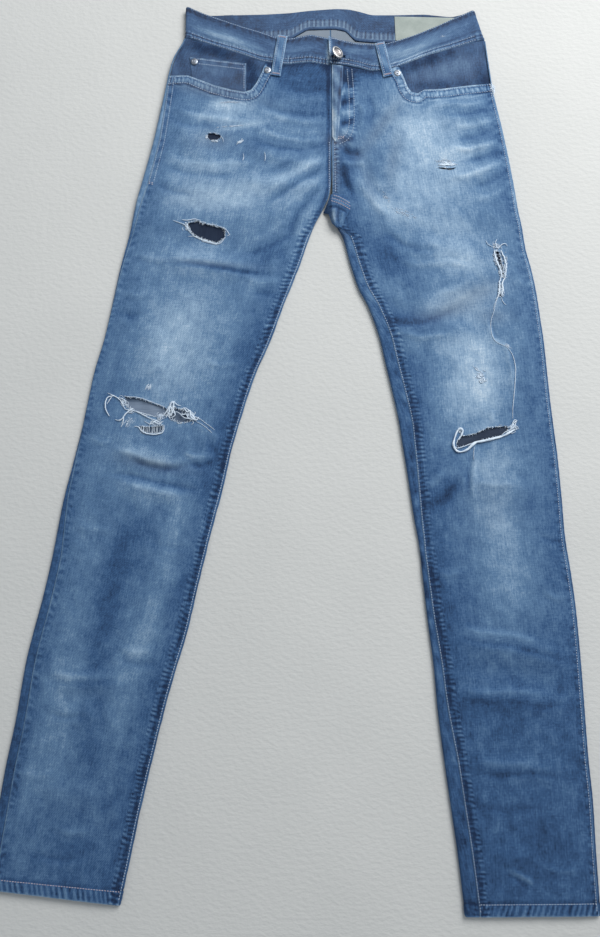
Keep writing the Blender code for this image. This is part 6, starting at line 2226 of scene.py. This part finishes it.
for radius, arch, knots in (
    (0.45, 0.7, [(258, 228), (263, 234), (268, 236), (271, 233)]),
    (0.4, 0.6, [(257, 230), (256, 237), (258, 242)]),
    (0.35, 0.4, [(252, 232), (247, 235), (244, 240)]),
    (0.35, 0.3, [(257, 166), (253, 158), (251, 150)]),
    (0.3, 0.2, [(261, 167), (263, 160), (267, 156)]),
    (0.3, 0.2, [(256, 164), (252, 150), (247, 132), (250, 112), (266, 102)]),
    (0.42, 0.2, [(266, 102), (272.5, 92), (275.5, 76), (274, 53), (271, 29), (270, 12)]),
):
    side.lay(knots, radius, arch, wander=0.12)
side.tangle(258.5, 445, 2.4, 6, 12, 44, 0.24, 0.8, 2.4)
for drop in (0, 3, 7):
    side.lay([(257 - drop / 9, 452 - drop), (260.2, 447 - drop), (259, 440 - drop)], 0.4, 0.8, wander=0.3)
side.weft(195, 344, 9, 5, 0, 70, 0.22, 5)
side.weft(197, 340.5, 12, 1.3, 0, 60, 0.4, 8)
side.weft(142, 275, 18, 4, -24, 60, 0.2, 3.4)
side.weft(120, 296, 8, 3, -60, 26, 0.18, 3)
side.finish("torn_threads_left_side")

# %% [markdown]
# ## The fold under the crotch
# Where the four seams meet under the fly, the cloth of the seat folds out over the
# left leg. It is thick there, darker than the rest, and crossed by the short rows
# of the felled seam. A small sheet climbs from the gap between the legs onto the
# leg, with its height read from the leg by a needle, so it lies on it.

# %% Crotch fold
CROTCH_FOLD = [
    (300, 48.2, 66), (297, 47.4, 70), (290, 44.4, 74), (284, 41.8, 74.5), (279, 39.4, 74), (276, 46, 72),
    (270, 48, 68), (263, 50.5, 65), (256, 57, 62.5),
]
FOLD_WALL = 1.0
FOLD_RIDGES = [
    (1.5, 0.7, [(50, 299), (58, 296), (73, 288)]),
    (1.5, 0.7, [(48, 294), (58, 290), (74, 281)]),
    (1.7, -0.8, [(44, 284), (56, 283), (70, 276)]),
    (2, 0.9, [(54, 283), (52, 272), (53, 262)]),
    (1.6, -0.8, [(59, 282), (57, 272), (58, 260)]),
    (2, 0.7, [(64, 279), (64, 270), (61, 260)]),
]


def crotch_fold_points():
    table = np.array(CROTCH_FOLD, float)
    y = np.arange(table[0, 0], table[-1, 0], -0.9)
    left, right = (np.interp(-y, -table[:, 0], table[:, k])[:, None] for k in (1, 2))
    share = np.linspace(0, 1, 42)[None, :]
    x = left + (right - left) * share
    down = np.linspace(150, 380, 400)
    edge = LEFT.column(2, np.interp(-y, -LEFT.column(3, down), down))
    base = np.zeros(x.shape)
    for i, k in np.ndindex(x.shape):
        landing = max(x[i, k], edge[i] + 2.0)
        on_leg = land(leg_tree, landing, y[i]).point.z + 0.35
        reach = max(edge[i] - 1.4 - x[i, k], 0)
        base[i, k] = on_leg if x[i, k] >= landing else max(on_leg - 0.8 * reach, 0.4)
    y = np.broadcast_to(y[:, None], x.shape)
    around = np.minimum(share, 1 - share) * (right - left)
    rise = FOLD_WALL + 1.1 * np.sin(math.pi * share) + crease_height(FOLD_RIDGES, x, y)
    rise = rise - 0.5 * smooth(1.6, 0, around) + 0.12 * crumple(x, y, 4, 9.1)
    return np.stack([x, y, base + np.maximum(rise, FOLD_WALL * 0.9)], axis=-1)


def crotch_wear(x, y, *_):
    fade_and_shade = 0.27 + 0.26 * crease_height(FOLD_RIDGES, x, y)
    fade_and_shade += spots([(53, 272, 4, 9, 0, 0.16), (44, 282, 6, 6, 0, -0.1)], x, y)
    return fade_and_shade, 0, spots([(53, 272, 4, 8, 0, 0.5)], x, y)


leg_tree = surface_tree(front_left, *backs)
fold_points = crotch_fold_points()
places = fold_points[..., :2].copy()
crotch_fold = sheet_mesh("crotch_fold_cloth", fold_points, places, FOLD_WALL * 0.8, 1, DENIM)
paint(crotch_fold, crotch_wear)
finish_piece(crotch_fold, "crotch_fold")
print(crotch_fold.name, len(crotch_fold.data.polygons), "faces")

# %% [markdown]
# ## Sewing
# Every seam shows a row of stitches. One stitch is a short thread that dips into
# the cloth at both ends. It is modelled once, with few faces, because there are
# thousands of them. Each row is a line on the plan: a needle drops from above at
# each stitch and finds the cloth under it, so the row follows every pucker.

# %% Thread
THREAD_PALE = cotton_material("pale_thread", (0.22, 0.30, 0.44, 1), (0.56, 0.66, 0.80, 1))
THREAD_ROSE = cotton_material("rose_thread", (0.32, 0.26, 0.32, 1), (0.66, 0.56, 0.62, 1))
STITCH_LONG = 2.4
STITCH_PITCH = 3.1
STITCH_WIDE = 0.46
STITCH_HIGH = 0.28
FLOOR_GAP = 0.01


def stitch_shape():
    """Verts and faces of one stitch along X, pointed at both ends."""
    verts = [(-0.5, 0.0, -0.8)]
    for at, size, lift in ((-0.33, 0.85, 0.25), (0.0, 1.0, 0.6), (0.33, 0.85, 0.25)):
        for y, z in ((1, 0), (0, 1), (-1, 0), (0, -1)):
            verts.append((at, y * size, lift + z * size))
    verts.append((0.5, 0.0, -0.8))
    faces = [[0, 1 + k, 1 + (k + 1) % 4] for k in range(4)]
    for ring in (1, 5):
        for k in range(4):
            after = (k + 1) % 4
            faces.append([ring + k, ring + 4 + k, ring + 4 + after, ring + after])
    faces += [[13, 9 + (k + 1) % 4, 9 + k] for k in range(4)]
    return np.array(verts), faces


STITCH_VERTS, STITCH_FACES = stitch_shape()


def even_line(path, pitch):
    """Points a pitch apart along a smooth line through the knots."""
    fine = smooth_line(path, 0.7)
    run = run_along(fine)
    count = max(2, round(run[-1] / pitch))
    at = (np.arange(count) + 0.5) * run[-1] / count
    return np.stack([np.interp(at, run, fine[:, k]) for k in range(fine.shape[1])], axis=1)


def sew(name, rows, tree, finish, down=True, pitch=STITCH_PITCH, long=STITCH_LONG, seed=1):
    """One piece with all the stitches of some rows."""
    dice = np.random.default_rng(seed)
    verts, faces = [], []
    for path in rows:
        places = even_line(path, pitch)
        ways = np.gradient(places, axis=0)
        for (x, y), way in zip(places, ways):
            hit = land(tree, x, y, down)
            if hit is None:
                continue
            along = Vector((way[0], way[1], 0)).normalized()
            along.rotate(Matrix.Rotation(dice.uniform(-0.09, 0.09), 3, "Z"))
            normal = hit.normal
            along = (along - normal * along.dot(normal)).normalized()
            across = normal.cross(along)
            size = long * dice.uniform(0.88, 1.05)
            frame_axes = np.array([along * size, across * STITCH_WIDE, normal * STITCH_HIGH])
            start = len(verts)
            placed = np.array(hit.point) + STITCH_VERTS @ frame_axes
            placed[:, 2] = np.maximum(placed[:, 2], FLOOR_GAP)
            verts.extend(placed.tolist())
            faces.extend([[start + k for k in face] for face in STITCH_FACES])
    finish_piece(link_mesh(name, verts, faces, finish, 180))
    print(name, len(faces) // len(STITCH_FACES), "stitches")


def beside(path, distance):
    """A line beside another one; a distance above zero is on its left."""
    line = smooth_line(path, 3.0)
    step = np.gradient(line, axis=0)
    step /= np.linalg.norm(step, axis=1, keepdims=True)
    return (line + np.stack([-step[:, 1], step[:, 0]], axis=1) * distance).tolist()


def leg_line(leg, start, end, inset, from_side):
    """A line down a leg, an inset from the side seam or from the inseam."""
    down = np.arange(start, end, 4.0)[:, None]
    first, last = front_span(leg, down)
    return leg.surface(down, first + inset if from_side else last - inset)[:, 0, :2].tolist()


print("one stitch has", len(STITCH_FACES), "faces")

# %% Rows on the front panels
INSEAM_FROM = 292


def hem_line(leg, front=True):
    """A row round the hem, just below the top of its fold."""
    down = np.full((1, 1), leg.length - HEM_DEPTH + 1.6)
    if front:
        first, last = front_span(leg, down)
        around = first + (last - first) * np.linspace(0.01, 0.99, 30)[None, :]
    else:
        around = np.linspace(-4, -float(leg.ring(down)[0, 0]) + 4, 30)[None, :]
    return leg.surface(np.broadcast_to(down, around.shape), around)[0, :, :2].tolist()


front_rows = [
    leg_line(RIGHT, INSEAM_FROM, RIGHT.length - 2, 1.1, False),
    leg_line(LEFT, INSEAM_FROM - 8, LEFT.length - 2, 1.1, False),
    leg_line(RIGHT, 92, 224, 1.5, True), leg_line(RIGHT, 92, 224, 7.0, True),
    leg_line(LEFT, 96, LEFT.length - 4, 2.6, True),
    beside(RIGHT_MOUTH, -2.0), beside(RIGHT_MOUTH, -10.8),
    beside(LEFT_MOUTH, -2.0), beside(LEFT_MOUTH, -10.8),
    FLY_STITCHING, beside(FLY_STITCHING, -6.0),
    [(53, 474), (53, 430), (53, 384)],
    [(47.5, 372), (47.3, 340), (47.2, 302)], [(54.2, 370), (54.5, 340), (54.8, 304)],
    hem_line(LEFT),
]
sew("front_sewing", front_rows, front_tree, THREAD_PALE, seed=3)
rose_rows = [
    hem_line(RIGHT),
    [(52, 379), (60, 378), (67, 379)], [(52, 377), (60, 376), (67, 377)],
    [(-183, 318), (-176, 316)], [(-183, 316), (-176, 314)],
]
sew("front_rose_sewing", rose_rows, front_tree, THREAD_ROSE, seed=4)

# %% Rows on the waistband, the fold, the coin pocket and the loops


def band_row(inset, from_top):
    """The rows along the front of the waistband, an inset from one of its edges."""
    rows = [[]]
    for top_x, top_y, low_x, low_y, z in BAND_LINE[::3]:
        top, low = Vector((top_x, top_y)), Vector((low_x, low_y))
        way = (low - top).normalized() * inset
        place = top + way if from_top else low - way
        if z > 5 and -136 < place.x < 240:
            rows[-1].append((place.x, place.y))
        elif rows[-1]:
            rows.append([])
    return [row for row in rows if len(row) > 3 and row[0][1] < 560]


band_tree = surface_tree(waistband)
seams = band_row(1.8, True) + band_row(2.0, False) + band_row(8.0, False)
sew("waistband_sewing", seams, band_tree, THREAD_PALE, seed=5)
sew("waistband_end_sewing", [[(49.0, 514), (49.6, 500), (50.4, 483)]], band_tree, THREAD_PALE, seed=6)
fold_tree = surface_tree(crotch_fold)
fold_rows = [[(52, 298.5), (62, 294.5), (73, 288)], [(50, 295), (61, 291), (74, 284)],
             [(49, 291.5), (60, 287), (73.5, 280)]]
sew("crotch_sewing", fold_rows, fold_tree, THREAD_ROSE, long=2.8, pitch=3.0, seed=7)
coin_tree = surface_tree(bpy.data.objects["coin_pocket_cloth"])
coin_rows = [[(-124, 487), (-90, 482.8), (-63, 479.4)], [(-122, 480.6), (-90, 476.6), (-63, 473)],
             [(-62.5, 478), (-62.5, 446)]]
sew("coin_pocket_sewing", coin_rows, coin_tree, THREAD_PALE, seed=8)


def loop_rows(ends):
    """A row near each side of a belt loop, and a bar tack at each end."""
    start, end = Vector(ends[0]), Vector(ends[1])
    way = (end - start).normalized()
    side = Vector((-way.y, way.x)) * (LOOP_WIDTH / 2 - 2.3)
    long_rows = [[start + way * 2 + side * s, (start + end) / 2 + side * s, end - way * 2 + side * s]
                 for s in (-1, 1)]
    tacks = [[place - side * 1.25, place, place + side * 1.25]
             for place in (start + way * 2.2, start + way * 3.2, end - way * 2.2, end - way * 3.2)]
    return long_rows, tacks


loop_tree = surface_tree(*front_loops)
long_rows, tacks = zip(*[loop_rows(ends) for ends in FRONT_LOOPS.values()])
sew("front_loop_sewing", sum(long_rows, []), loop_tree, THREAD_PALE, seed=9)
sew("front_loop_tacks", sum(tacks, []), loop_tree, THREAD_ROSE, pitch=1.5, long=1.7, seed=10)

# %% Rows on the underside
under_tree = surface_tree(*backs, *back_pockets, *back_loops, waistband)
under_rows = [
    hem_line(RIGHT, False), hem_line(LEFT, False),
    [(46.5, 446), (46.5, 380), (46.5, 306)], [(53.5, 446), (53.5, 380), (53.5, 306)],
]
for outline in BACK_POCKETS.values():
    corners = [Vector(corner) for corner in outline]
    for inset in (1.8, 8.0):
        for start, end in zip(corners[1:], corners[2:] + corners[:1]):
            way = (end - start).normalized()
            side = Vector((way.y, -way.x)) * inset
            under_rows.append([start + side, end + side])
    for inset in (1.8, POCKET_HEM - 1.2):
        under_rows.append([corners[0] + Vector((3, -inset)), corners[1] - Vector((3, inset))])
for first, last in ((-150, 44), (56, 248)):
    for shift in (-2.0, -8.0):
        under_rows.append([(x, yoke_line(x, shift)) for x in np.linspace(first, last, 12)])
for ends in BACK_LOOPS.values():
    more_rows, more_tacks = loop_rows(ends)
    under_rows += more_rows + more_tacks
sew("underside_sewing", under_rows, under_tree, THREAD_PALE, down=False, seed=11)
